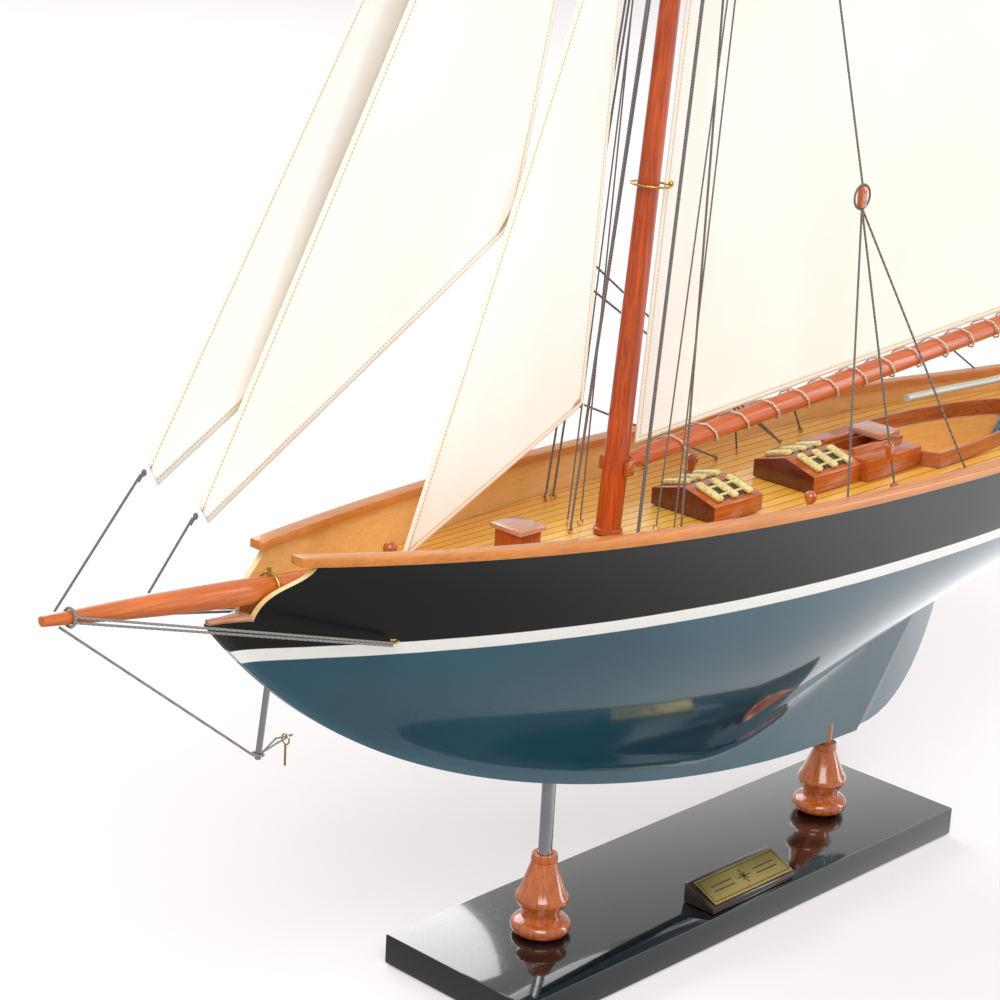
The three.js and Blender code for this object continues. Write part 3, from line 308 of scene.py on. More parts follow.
# Nameplate: a brass plate on a dark wedge at the board's port edge. It has an engraved
# border and a plain eight-point star between two rules, filled with black.
plate_block = varnished_wood("plate_block", "33211a", "140d0a", 900, FORE_AND_AFT, gloss=0.2)
smooth_twin("nameplate_block", "plate_wedge", "stand", plate_block, bevel=0.0005)
aged_brass = metal_look("aged_brass", "b9a263", "80703a", 0.3, (0.05, 1, 1), 1600)
smooth_twin("nameplate", "brass_plate", "stand", aged_brass, bevel=0.00015)

# Black filling for the nameplate's engraving, also used for the painted shade of the runner block holes.
black_fill_and_hole_shade = Look("engraving_fill_and_hole_shade", roughness=0.55)
speck = black_fill_and_hole_shade.noise(black_fill_and_hole_shade.place(), 2500.0)
black_fill_and_hole_shade = black_fill_and_hole_shade.finish(base_color=black_fill_and_hole_shade.mix(speck, paint("1c1a12"), paint("2c281a")))


def joined(name, parts, material, smooth=35):
    """Several new objects made one piece, its place in its mesh."""
    bpy.ops.object.select_all(action="DESELECT")
    for part in parts:
        part.select_set(True)
    bpy.context.view_layer.objects.active = parts[0]
    if len(parts) > 1:
        bpy.ops.object.join()
    bpy.ops.object.transform_apply(location=True, rotation=True, scale=True)
    bpy.ops.object.mode_set(mode="EDIT")
    bpy.ops.mesh.select_all(action="SELECT")
    bpy.ops.mesh.normals_make_consistent(inside=False)
    bpy.ops.object.mode_set(mode="OBJECT")
    piece = bpy.context.object
    piece.name = name
    piece.data.name = name
    piece.data.materials.clear()
    piece.data.materials.append(material)
    bpy.ops.object.shade_smooth_by_angle(angle=math.radians(smooth))
    return piece


def ridden(piece, body):
    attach(piece, body)
    return piece


plate_low, plate_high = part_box("nameplate")
plate_middle = (plate_low + plate_high) / 2
PLATE_TILT = math.atan2(6, 13.5)
PLATE_SIZE = (50 * MM, 13.5 * MM)


def plate_bar(across, along, length, breadth, turn=0.0):
    """A shallow bar on the plate's face, along it or up it from its middle."""
    face = Matrix.Translation(plate_middle) @ Matrix.Rotation(PLATE_TILT, 4, "X")
    bpy.ops.mesh.primitive_cube_add(size=1)
    bar = bpy.context.object
    size = Matrix.Diagonal((length, breadth, 0.12 * MM, 1))
    spot = Matrix.Translation((across, along, 0.3 * MM))
    bar.matrix_world = face @ spot @ Matrix.Rotation(turn, 4, "Z") @ size
    bpy.ops.object.mode_set(mode="EDIT")
    bpy.ops.mesh.select_all(action="SELECT")
    bpy.ops.mesh.bevel(offset=0.03, affect="EDGES")
    bpy.ops.object.mode_set(mode="OBJECT")
    return bar


inset = 1.2 * MM
half_length, half_breadth = PLATE_SIZE[0] / 2 - inset, PLATE_SIZE[1] / 2 - inset
engraved = [plate_bar(0, side * half_breadth, 2 * half_length, 0.35 * MM) for side in (-1, 1)]
engraved += [plate_bar(side * half_length, 0, 2 * half_breadth, 0.35 * MM, math.pi / 2) for side in (-1, 1)]
engraved += [plate_bar(side * 13.5 * MM, lift * MM, 13 * MM, 0.55 * MM)
             for side in (-1, 1) for lift in (-1.3, 1.3)]
engraved += [plate_bar(0, 0, length * MM, 0.5 * MM, turn * math.pi / 4)
             for turn, length in ((0, 8), (1, 5), (2, 8), (3, 5))]
ridden(joined("plate_engraving", engraved, black_fill_and_hole_shade), "stand")


# Hull: carved wood, painted black above a white boot stripe and glossy blue-green below,
# varnished bare inside the bulwarks, with a pale edge where they sweep down to the beak.
MID_X, STEM_X, STERN_X, HALF_BEAM = 66, -265, 272, 60.5
WALL = 2.4
OGEE_TOP_X, OGEE_FOOT_X = -229, -248.5
HEEL, POST_TOP = (110, 46), (148, 98.4)
BEAK_LIFT = 2.0
OUTSIDE, INSIDE = 44, 10  # steps up the outside of a section, and down its inside


def toward_bow(x):
    return max(0.0, (MID_X - x) / (MID_X - STEM_X))


def toward_stern(x):
    return max(0.0, (x - MID_X) / (STERN_X - MID_X))


def smoothstep(x, low, high):
    share = min(1.0, max(0.0, (x - low) / (high - low)))
    return share * share * (3 - 2 * share)


def sheer_half(x):
    bow = (1 - min(1.0, toward_bow(x)) ** 2.3) ** 1.04
    return 1.4 + (HALF_BEAM - 1.4) * bow * (1 - 0.5 * toward_stern(x) ** 2.6)


def sheer_z(x):
    return 183.2 + 0.04 * (MID_X - x) + 9 * toward_bow(x) ** 2.8 + 2 * toward_stern(x) ** 2


def deck_z(x):
    return sheer_z(x) - 13.6 - 7.5 * toward_bow(x) ** 1.6 + 6 * smoothstep(x, -20, 195)


def counter_z(x):
    aft = x - POST_TOP[0]
    return POST_TOP[1] + 0.27 * aft + 0.0004 * aft * aft


def keel_z(x):
    if x > POST_TOP[0]:
        return counter_z(x)
    if x > HEEL[0]:
        return HEEL[1] + (POST_TOP[1] - HEEL[1]) * (x - HEEL[0]) / (POST_TOP[0] - HEEL[0])
    fore = (HEEL[0] - x) / (HEEL[0] - STEM_X)
    return HEEL[1] + 5 * fore + 102.6 * fore ** 2 + 31 * fore ** 8


def body_z(x):
    start = -10
    if x <= start or x > POST_TOP[0]:
        return keel_z(x)
    run = POST_TOP[0] - start
    s = (x - start) / run
    return ((2 * s ** 3 - 3 * s * s + 1) * keel_z(start) + (s ** 3 - 2 * s * s + s) * run * -0.17
            + (3 * s * s - 2 * s ** 3) * POST_TOP[1] + (s ** 3 - s * s) * run * 0.27)


def hull_half(x, z):
    low = body_z(x)
    share = min(1.0, max(0.0, (z - low) / (sheer_z(x) - low)))
    stemward = toward_bow(x) ** 1.5
    full = 2.8 - 1.2 * stemward
    hollow = 1.6 - 0.6 * stemward - 0.75 * smoothstep(x, 60, 200)
    body = sheer_half(x) * (1 - (1 - share) ** full) ** hollow
    fin = 3.4 * (1 - 0.55 * stemward) * (1 - 0.4 * smoothstep(x, 40, HEEL[0]))
    return min((body ** 3 + fin ** 3) ** (1 / 3), sheer_half(x))


def leaning(x, y, z):
    rake = 0.4 * smoothstep(x, 215, STERN_X)
    return Vector((x + rake * (z - counter_z(x)), y, z)) * MM


def ogee_z(x):
    """The bulwark's top edge, with its sweep down to the beak."""
    if x >= OGEE_TOP_X:
        return sheer_z(x)
    if x <= OGEE_FOOT_X:
        return deck_z(x) + BEAK_LIFT - 1
    head, foot = sheer_z(OGEE_TOP_X), deck_z(OGEE_FOOT_X) + BEAK_LIFT
    points = ((OGEE_TOP_X, head), (OGEE_TOP_X - 5, head - 7),
              (OGEE_FOOT_X + 3, head - 5), (OGEE_FOOT_X, foot))
    low, high = 0.0, 1.0
    for _ in range(30):
        t = (low + high) / 2
        weights = ((1 - t) ** 3, 3 * t * (1 - t) ** 2, 3 * t * t * (1 - t), t ** 3)
        if sum(w * p[0] for w, p in zip(weights, points)) > x:
            low = t
        else:
            high = t
    return sum(w * p[1] for w, p in zip(weights, points))


def hull_stations():
    spots = [STEM_X + (OGEE_FOOT_X - STEM_X) * i / 14 for i in range(14)]
    spots += [OGEE_FOOT_X - 0.06, OGEE_FOOT_X + 0.06]
    spots += [OGEE_FOOT_X + (OGEE_TOP_X - OGEE_FOOT_X) * i / 22 for i in range(1, 22)]
    spots += [OGEE_TOP_X + (HEEL[0] - OGEE_TOP_X) * i / 96 for i in range(96)]
    spots += [HEEL[0] + (POST_TOP[0] - HEEL[0]) * i / 24 for i in range(24)]
    spots += [POST_TOP[0] + (STERN_X - 3.1 - POST_TOP[0]) * i / 40 for i in range(41)]
    return [*spots, STERN_X - 2.9, STERN_X]


def hull_ring(x):
    """One closed section: up the outside to port, down inside, and back up to starboard."""
    top = ogee_z(x)
    low = min(keel_z(x), top - 0.3)
    port = []
    for i in range(OUTSIDE + 1):
        share = 0.3 * (1 - math.cos(math.pi * i / OUTSIDE)) + 0.4 * i / OUTSIDE
        z = low + (top - low) * share
        port.append((-hull_half(x, z), z))
    has_well = OGEE_FOOT_X < x < STERN_X - 3
    floor_z = deck_z(x) - 12 if has_well else top
    brim = hull_half(x, top)
    for i in range(INSIDE + 1):
        z = top + (floor_z - top) * i / INSIDE
        reach = hull_half(x, z) - WALL if has_well else brim * (1 - 0.3 * (i + 1) / (INSIDE + 1))
        port.append((-max(reach, 0.2), z))
    starboard = [(-y, z) for y, z in reversed(port)]
    return [leaning(x, y, z) for y, z in port + starboard]


def skin(name, rings, lined=range(0)):
    """A closed mesh over rings of points, each joined to the next and both ends filled;
    the faces at the places in lined get the second material."""
    shape = bmesh.new()
    rows = [[shape.verts.new(point) for point in ring] for ring in rings]
    for row, following in zip(rows, rows[1:]):
        for i in range(len(row)):
            j = (i + 1) % len(row)
            side = shape.faces.new((row[i], following[i], following[j], row[j]))
            side.material_index = int(i in lined)
    shape.faces.new(rows[0])
    shape.faces.new(list(reversed(rows[-1])))
    bmesh.ops.remove_doubles(shape, verts=shape.verts, dist=1e-6)
    bmesh.ops.recalc_face_normals(shape, faces=shape.faces)
    mesh = bpy.data.meshes.new(name)
    shape.to_mesh(mesh)
    shape.free()
    piece = bpy.data.objects.new(name, mesh)
    bpy.context.scene.collection.objects.link(piece)
    return piece


def hull_paint():
    look = Look("hull_paint", coat_roughness=0.05)
    x, _, z = look.xyz(look.place((10, 1000, 1000)))
    curve = 157.9858
    stripe_top = ((((x * 0.0077 + 0.0312) * x - 0.2179) * x + 0.396) * x - 3.5901) * x + curve
    wobble = look.noise(look.place(), 60.0, 2.0) * 0.25
    height = z - stripe_top + wobble - 0.12
    above_stripe = height.step(-0.18, 0.18)
    below_stripe = 1 - (height + 4.9).step(-0.18, 0.18)
    brushed = look.noise(look.place((60, 600, 600)), 1.0, 4.0)
    cloud = look.noise(look.place(), 12.0, 3.0)
    dust = look.noise(look.place(), 1400.0, 3.0).step(0.62, 0.72)
    black = look.mix(dust * 0.3 + cloud * 0.1, paint("0b0b0c"), paint("202023"))
    teal = look.mix(cloud.step(0.3, 0.7), paint("1b4656"), paint("205163"))
    teal = look.mix(dust * 0.25, teal, paint("2f6374"))
    white = look.mix(brushed * 0.3, paint("f2f1ee"), paint("d9d7d2"))
    color = look.mix(above_stripe, look.mix(below_stripe, white, teal), black)
    rough = above_stripe * 0.2 + cloud * 0.06 + dust * 0.1 + 0.1
    ridge = above_stripe + below_stripe
    return look.finish(base_color=color, roughness=rough, coat_weight=0.95 - above_stripe * 0.85,
                       normal=look.bump(brushed * 0.25 - ridge * 0.6 + cloud * 0.5, 0.00012))


bulwark_wood = varnished_wood("bulwark_wood", "f2c076", "dba04c", 700, FORE_AND_AFT,
                              gloss=0.35, coat=0.25, contrast=0.4)
edge_wood = varnished_wood("pale_edge", "ead49a", "d4b66e", 900, UPRIGHT, gloss=0.4, coat=0.2, contrast=0.4)
inner_faces = range(OUTSIDE + 1, OUTSIDE + 2 * INSIDE + 2)
hull = skin("painted_hull", [hull_ring(x) for x in hull_stations()], inner_faces)
for material in (hull_paint(), bulwark_wood, edge_wood):
    hull.data.materials.append(material)
bpy.context.view_layer.objects.active = hull
bpy.ops.object.select_all(action="DESELECT")
hull.select_set(True)
for face in hull.data.polygons:
    middle, normal = face.center / MM, face.normal
    on_sweep = OGEE_FOOT_X - 1 < middle.x < OGEE_TOP_X and middle.z > ogee_z(middle.x) - 0.7
    if on_sweep and abs(normal.y) < 0.75:
        face.material_index = 2
bpy.ops.object.shade_smooth_by_angle(angle=math.radians(28))
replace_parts(ridden(hull, "ship"), "hull")


# Rudder: a flat blade of wood in the hull's blue-green, hung on a stock that runs up
# through the counter, and a bright tiller bent from rod.
def rudder_paint():
    look = Look("rudder_paint", coat_weight=0.95, coat_roughness=0.05)
    cloud = look.noise(look.place(), 14.0)
    dust = look.noise(look.place(), 1400.0).step(0.62, 0.72)
    teal = look.mix(cloud.step(0.3, 0.7), paint("1b4656"), paint("205163"))
    return look.finish(base_color=look.mix(dust * 0.25, teal, paint("2f6374")),
                       roughness=cloud * 0.08 + 0.1, normal=look.bump(cloud, 0.0001))


blade = smooth_twin("rudder", "rudder_blade", "rudder", rudder_paint(), 30, 0.0006)
blade.data.materials.append(steel)
for face in blade.data.polygons:
    face.material_index = int(face.center.z > 0.135)
silver = Look("silver_paint", metallic=0.25)
worn = silver.noise(silver.place((60, 900, 900)), 1.0, 3.0)
silver_tone = silver.mix(worn, paint("d2d3cc"), paint("b4b5ae"))
silver = silver.finish(base_color=silver_tone, roughness=worn * 0.15 + 0.36,
                       normal=silver.bump(worn, 0.00003))
smooth_twin("tiller", "tiller_arm", "rudder", silver, 50)


# Deck: narrow golden planks laid fore and aft, drawing together toward the bow, with
# dark caulked seams and butt joints, under satin varnish.
PLANK_WIDTH, PLANK_LENGTH = 5.6, 62


def groove(position, low, high):
    """1 in the gap between one board and the next, where position passes a whole number."""
    return 1 - (1 - (position.wave() - 0.5).abs() * 2).step(low, high)


def deck_look():
    look = Look("deck_planks", coat_weight=0.6, coat_roughness=0.1)
    x, y, _ = look.xyz(look.place((1000, 1000, 1000)))
    fore = (MID_X - x) * (1 / (MID_X - STEM_X))
    fore = fore.math("MAXIMUM", fore, 0.0)
    narrowing = 1 - fore * fore * 0.62
    across = y / narrowing / PLANK_WIDTH + 50.5
    plank = across.math("FLOOR", across)
    joint_at = x / PLANK_LENGTH + plank * 0.37
    seam = groove(across, 0.04, 0.17)
    seam = seam.math("MAXIMUM", seam, groove(joint_at, 0.006, 0.016) * 0.25)
    board = plank * 7.3 + joint_at.math("FLOOR", joint_at) * 3.1
    tint = look.node("ShaderNodeTexWhiteNoise", {"noise_dimensions": "1D"}, {"W": board}, "Value")
    grain = look.noise(look.place((30, 1500, 1500)), 1.0, 4.0, 0.6)
    figure = look.noise(look.place((30, 420, 420)), 1.0, 3.0).step(0.35, 0.7)
    wood = look.mix(tint, paint("fbb03a"), paint("ffcd58"))
    wood = look.mix(grain.step(0.35, 0.7) * 0.3, wood, paint("cf8828"))
    wood = look.mix(figure * 0.25, wood, paint("f4c468"))
    color = look.mix(seam * 0.8, wood, paint("6b3d10"))
    return look.finish(base_color=color, roughness=grain * 0.15 + seam * 0.2 + 0.24,
                       normal=look.bump(grain * 0.2 - seam, 0.00012))


smooth_twin("deck", "planked_deck", "ship", deck_look(), 30)


# Beak: one thick plank of pinkish wood that covers the stem ahead of the bulwarks. Its
# edges follow the stem's sides and are eased, and the bowsprit lies over it.
def beak_ring(x):
    half = max(hull_half(x, deck_z(x)) - 0.1, 0.5)
    top = deck_z(x) + BEAK_LIFT
    points = ((half, -0.9), (half + 0.1, 0), (half - 0.5, 0.5), (0, 0.8),
              (-half + 0.5, 0.5), (-half - 0.1, 0), (-half, -0.9))
    return [Vector((x, y, top + z)) * MM for y, z in points]


pink_wood = varnished_wood("pink_wood", "cb9478", "a5644a", 900, FORE_AND_AFT,
                           gloss=0.22, coat=0.7, contrast=0.5)
beak = skin("beak_plank", [beak_ring(STEM_X + 0.6 + (OGEE_FOOT_X - STEM_X) * i / 16) for i in range(17)])
beak.data.materials.append(pink_wood)
beak.data.shade_smooth()
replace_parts(ridden(beak, "ship"), "beak_deck")


# Cap rails: thin strips of red-brown wood bent over the bulwarks, proud on both sides,
# with eased edges, and a taffrail across the stern.
rail_wood = varnished_wood("rail_wood", "d98a40", "ad6122", 700, FORE_AND_AFT,
                           gloss=0.32, coat=0.35, contrast=0.45)
for side in ("port", "starboard"):
    smooth_twin("cap_rail_" + side, "rail_" + side, "ship", rail_wood, 40, 0.0005)
smooth_twin("taffrail", "rail_stern", "ship", rail_wood, 40, 0.0005)


# Spars: red-orange hardwood, rubbed round, with fine straight grain along each one.
# The boom and gaff have jaws around the mast.
MAST_RAKE = math.radians(4.2)
mast_wood = varnished_wood("mast_wood", "c8561a", "8c2e08", 1300, UPRIGHT, MAST_RAKE, 0.34, 0.3, 0.85)
BOOM_RISE, SPRIT_FALL = 0.068, 0.1115
GAFF_ANGLE = math.radians(51)
spar_wood = varnished_wood("spar_wood", "d2682a", "a64312", 1300, FORE_AND_AFT,
                           -math.atan(BOOM_RISE), 0.34, 0.3)
sprit_wood = varnished_wood("sprit_wood", "dc762f", "b05018", 1300, FORE_AND_AFT,
                            math.atan(SPRIT_FALL), 0.3, 0.4)
gaff_wood = varnished_wood("gaff_wood", "c8561a", "8c2e08", 1300, FORE_AND_AFT, -GAFF_ANGLE, 0.34, 0.3)
fitting_wood = varnished_wood("fitting_wood", "c8661f", "8e370c", 1000, FORE_AND_AFT, gloss=0.24, coat=0.55)
smooth_twin("bowsprit", "bowsprit_spar", "ship", sprit_wood, 45)
smooth_twin("mast", "mast_spar", "ship", mast_wood, 35)
smooth_twin("crosstrees", "crosstree_bars", "ship", mast_wood, 30, 0.0004)
smooth_twin("boom", "boom_spar", "main", spar_wood, 50)
smooth_twin("gaff", "gaff_spar", "main", gaff_wood, 40)
smooth_twin("gooseneck", "boom_jaws", "main", fitting_wood, 40, 0.0004)


# Brass: the band that clamps the bowsprit, the hoop on the mast, and the small screw
# eyes that hold every thread.
brass = metal_look("brass", "d8b866", "9a7a34", 0.2)
smooth_twin("gammon_band", "gammon_ring", "ship", brass, 50)
smooth_twin("mast_hoop", "hoop", "main", brass, 50)
smooth_twin("spare_eye_pin", "eye_pin", "pin", brass, 50)


def screw_eye(foot, toward=(0, 0, 1), turn=0.0):
    """A ring of wire on a short threaded shank with a collar."""
    bpy.ops.object.select_all(action="DESELECT")
    parts = []
    bpy.ops.mesh.primitive_torus_add(major_radius=1.15 * MM, minor_radius=0.32 * MM, major_segments=20,
                                     minor_segments=8, location=(0, 0, 1.5 * MM), rotation=(math.pi / 2, 0, 0))
    parts.append(bpy.context.object)
    bpy.ops.mesh.primitive_cylinder_add(radius=0.4 * MM, depth=1.3 * MM, vertices=10,
                                        location=(0, 0, -0.25 * MM))
    parts.append(bpy.context.object)
    bpy.ops.mesh.primitive_cone_add(radius1=0.85 * MM, radius2=0.5 * MM, depth=0.35 * MM, vertices=14,
                                    location=(0, 0, 0.05 * MM))
    parts.append(bpy.context.object)
    bpy.ops.object.select_all(action="DESELECT")
    for part in parts:
        part.select_set(True)
    bpy.context.view_layer.objects.active = parts[0]
    bpy.ops.object.join()
    bpy.ops.object.transform_apply(location=True, rotation=True, scale=True)
    eye = bpy.context.object
    swing = Vector((0, 0, 1)).rotation_difference(Vector(toward)).to_matrix().to_4x4()
    eye.matrix_world = Matrix.Translation(foot) @ swing @ Matrix.Rotation(turn, 4, "Z")
    return eye


def on_deck(x, y):
    """A point on the deck's surface, in metres, from a place in millimetres."""
    across = y / (hull_half(x, deck_z(x)) - WALL)
    return Vector((x, y, deck_z(x) + 1.2 * (1 - across * across))) * MM


def side_deck(x, side, share):
    return on_deck(x, side * share * (hull_half(x, deck_z(x)) - WALL))


hull_eye_x, hull_eye_z = -198, 169.5
feet = [on_deck(-77.7, 8.4), on_deck(-58.4, -9.2), on_deck(-41.3, -16.4), on_deck(-178, 0),
        side_deck(-52.5, 1, 0.87), side_deck(-48, 1, 0.86), side_deck(90, 1, 0.676), side_deck(50, 1, 0.726)]
TAIL_FEET = ((16, 0.928), (64, 0.726), (112, 0.787))
feet += [side_deck(x, side, share) for side in (-1, 1) for x, share in TAIL_FEET]
FORE_FEET = ((-66.5, 13.4), (-71.5, 15.6))
AFT_FEET = ((-46.5, -8.2), (-43.4, -14.6))
feet += [on_deck(x, y) for x, y in FORE_FEET + AFT_FEET]
eyes = [screw_eye(foot + Vector((0, 0, -0.2 * MM)), turn=index * 1.1) for index, foot in enumerate(feet)]
for side in (-1, 1):
    hull_side = side * (hull_half(hull_eye_x, hull_eye_z) + 0.1)
    eyes.append(screw_eye(Vector((hull_eye_x, hull_side, hull_eye_z)) * MM, (0, side, 0.1), 0.3))
ridden(joined("screw_eyes", eyes, brass, 50), "ship")


# Fore hatch: a red-brown box with a flat lid of pinkish wood that overhangs it, both
# glued to the deck ahead of the mast, with eased edges.
hatch_wood = varnished_wood("hatch_wood", "b8521f", "7a2b0f", 900, UPRIGHT, gloss=0.25, coat=0.6)
smooth_twin("fore_hatch", "hatch_box", "ship", hatch_wood, bevel=0.0004)
smooth_twin("fore_hatch_lid", "hatch_lid", "ship", pink_wood, bevel=0.0004)


# Skylights: low gabled boxes of orange wood with dark ends. On each slope three fat
# cream bars run down the roof, with black panes and short cross bars between them.
dark_wood = varnished_wood("dark_wood", "6d2c18", "3f150b", 900, FORE_AND_AFT, gloss=0.24, coat=0.6)


def cream_look():
    look = Look("cream_bar", roughness=0.45, coat_weight=0.2)
    mottle = look.noise(look.place(), 900.0, 4.0, 0.65)
    color = look.mix(mottle.step(0.35, 0.65), paint("c9b268"), paint("efe3a6"))
    return look.finish(base_color=color, roughness=mottle * 0.2 + 0.3, normal=look.bump(mottle, 0.0002))


def pane_look():
    look = Look("black_pane", roughness=0.08, coat_weight=0.5)
    smear = look.noise(look.place(), 300.0)
    color = look.mix(smear, paint("060607"), paint("121417"))
    return look.finish(base_color=color, roughness=smear * 0.1 + 0.05)


cream, pane = cream_look(), pane_look()


def slope_block(frame_matrix, along, down, lift, size, ease):
    """A rounded block on a roof slope: along the ridge, down the slope, above it."""
    bpy.ops.mesh.primitive_cube_add(size=1)
    block = bpy.context.object
    block.scale = [s * MM for s in size]
    bpy.ops.object.transform_apply(location=False, rotation=False, scale=True)
    rounding = block.modifiers.new("rounding", "BEVEL")
    rounding.width = ease * MM
    rounding.segments = 3
    bpy.ops.object.modifier_apply(modifier="rounding")
    block.matrix_world = frame_matrix @ Matrix.Translation(Vector((along, down, lift)) * MM)
    return block


def dress_skylight(node, name, half, wall, rise):
    """Gable ends, bars and panes for one skylight, from its CAD box."""
    body = smooth_twin(node, name + "_box", "ship", fitting_wood, bevel=0.0004)
    body.data.materials.append(dark_wood)
    for face in body.data.polygons:
        if abs(face.normal.x) > 0.9:
            face.material_index = 1
    low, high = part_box(node)
    slope = math.atan2(rise, half)
    run = math.hypot(half, rise)
    bars, panes = [], []
    step = (high.x - low.x) / MM / 3.25
    for side in (-1, 1):
        ridge = Matrix.Translation(((low.x + high.x) / 2, 0, high.z))
        down = ridge @ Matrix.Rotation(side * -slope, 4, "X") @ Matrix.Scale(side, 4, (0, 1, 0))
        centre = run * 0.5
        for index in (-1, 0, 1):
            bars.append(slope_block(down, index * step, centre, 1.1, (3.8, run * 0.78, 2.5), 1.15))
        for index in (-0.5, 0.5):
            panes.append(slope_block(down, index * step, centre, 0.25, (step - 3.4, run * 0.66, 0.5), 0.1))
            for lift in (-0.17, 0.17):
                rung = (step - 3, 1.1, 1.0)
                bars.append(slope_block(down, index * step, centre + lift * run, 0.6, rung, 0.3))
    ridden(joined(name + "_bars", bars, cream, 40), "ship")
    ridden(joined(name + "_panes", panes, pane, 40), "ship")


dress_skylight("skylight_fore", "skylight_fore", 16.5, 7, 4.4)
dress_skylight("skylight_aft", "skylight_aft", 15.9, 7.5, 4.6)


# Companionway: a low box with a slot down its middle, two runners, and a sliding lid
# that covers the slot's after end.
smooth_twin("companion_trunk", "companion_box", "ship", fitting_wood, bevel=0.0004)
smooth_twin("sliding_hatch", "companion_lid", "ship", pink_wood, bevel=0.0006)


# Cockpit: a coaming of bent red-brown wood around a sunken sole of pinkish planks. The
# well is lined with pale wood, and turned bollards stand on deck ahead of it.
coaming_wood = varnished_wood("coaming_wood", "bd6a30", "8c4018", 900, FORE_AND_AFT, gloss=0.24, coat=0.6)
smooth_twin("cockpit_coaming", "coaming", "ship", coaming_wood, 30, 0.0004)


COCKPIT_HALF, COCKPIT_FORE, COCKPIT_AFT, COCKPIT_DEPTH = 25.8, 113, 216, 13


def bent(start, bend, end, t):
    """A point on the curve from start to end that is drawn toward bend."""
    return tuple((1 - t) ** 2 * a + 2 * t * (1 - t) * b + t * t * c for a, b, c in zip(start, bend, end))


def cockpit_outline(inset, count=12):
    """The cockpit's plan at an inset: square-cornered fore end, round aft end."""
    half, fore, aft = COCKPIT_HALF - inset, COCKPIT_FORE + inset, COCKPIT_AFT - inset
    port = [(fore, -half * 0.72), (fore + 4, -half)]
    for start, bend, end in ((port[-1], (fore + 58, -half * 1.02), (aft - 6, -half * 0.42)),
                             ((aft - 6, -half * 0.42), (aft, -half * 0.3), (aft, 0))):
        port += [bent(start, bend, end, i / count) for i in range(1, count + 1)]
    return port + [(x, -y) for x, y in reversed(port[:-1])]


outer_wall, inner_wall = cockpit_outline(2.2), cockpit_outline(3.2)
sole_top = deck_z(COCKPIT_FORE) - COCKPIT_DEPTH
levels = [(outer_wall, 0), (outer_wall, 1), (inner_wall, 1), (inner_wall, 0)]
lining_shape = bmesh.new()
loops = []
for plan, top in levels:
    heights = [deck_z(x) + 1.1 if top else sole_top - 0.4 for x, _ in plan]
    loops.append([lining_shape.verts.new(Vector((x, y, z)) * MM) for (x, y), z in zip(plan, heights)])
for first, second in zip(loops, loops[1:] + loops[:1]):
    for i in range(len(first)):
        j = (i + 1) % len(first)
        lining_shape.faces.new((first[i], first[j], second[j], second[i]))
bmesh.ops.recalc_face_normals(lining_shape, faces=lining_shape.faces)
lining_mesh = bpy.data.meshes.new("cockpit_lining")
lining_shape.to_mesh(lining_mesh)
lining_shape.free()
lining = bpy.data.objects.new("cockpit_lining", lining_mesh)
bpy.context.scene.collection.objects.link(lining)
lining.data.materials.append(bulwark_wood)
ridden(lining, "ship")
sole_wood = varnished_wood("sole_wood", "e4b9a4", "c08c74", 800, FORE_AND_AFT, gloss=0.3, coat=0.5)
smooth_twin("cockpit_sole", "sole", "ship", sole_wood, 30)
for place in ("fore_port", "fore_starboard", "mid_port", "mid_starboard"):
    smooth_twin("bollard_" + place, "post_" + place, "ship", turned, 50)


# Sails: thin cotton, cut flat with folded and stitched hems, and set with a slight
# belly. A few soft creases run from the lower corners, where the thread pulls.
def sail_look():
    look = Look("sailcloth", roughness=0.9, sheen_weight=0.2)
    edge = look.node("ShaderNodeAttribute", {"attribute_name": "hem_distance"}, out="Fac")
    run = look.node("ShaderNodeAttribute", {"attribute_name": "hem_run"}, out="Fac")
    u, v, _ = look.xyz(look.node("ShaderNodeUVMap", {"uv_map": "cloth"}))
    weave = look.node("ShaderNodeMath", {"operation": "SINE"}, {0: u * 5200.0}) \
        * look.node("ShaderNodeMath", {"operation": "SINE"}, {0: v * 5200.0})
    slub = look.noise(look.place((300, 300, 60)), 1.0, 3.0)
    cloud = look.noise(look.place(), 9.0, 3.0)
    hem = 1 - edge.step(2.3, 2.9)
    line = (1 - (edge - 2.05).abs().step(0.12, 0.3)) * (run / 1.5).wave().step(0.2, 0.34)
    # A darker band along the inner edge of the hem, where the cloth steps down in thickness: painted shade.
    hem_step_shade = 1 - (edge - 2.7).abs().step(0.0, 0.5)
    tone = look.mix(cloud.step(0.3, 0.75), paint("fdf9f2"), paint("f8f0e6"))
    tone = look.mix(slub * 0.15, tone, paint("fffaf0"))
    tone = look.mix(hem * 0.25, tone, paint("f3e4c2"))
    tone = look.mix(hem_step_shade * 0.3, tone, paint("dcc692"))
    tone = look.mix(line * 0.8, tone, paint("b89350"))
    return look.finish(base_color=tone, normal=look.bump(weave * 0.12 + slub * 0.5 - line * 0.8, 0.00008))


def along_line(point, start, end):
    """Distance from a line, and how far along it, in millimetres."""
    direction = (end - start).normalized()
    reach = (point - start).dot(direction)
    return (point - start - direction * reach).length, reach


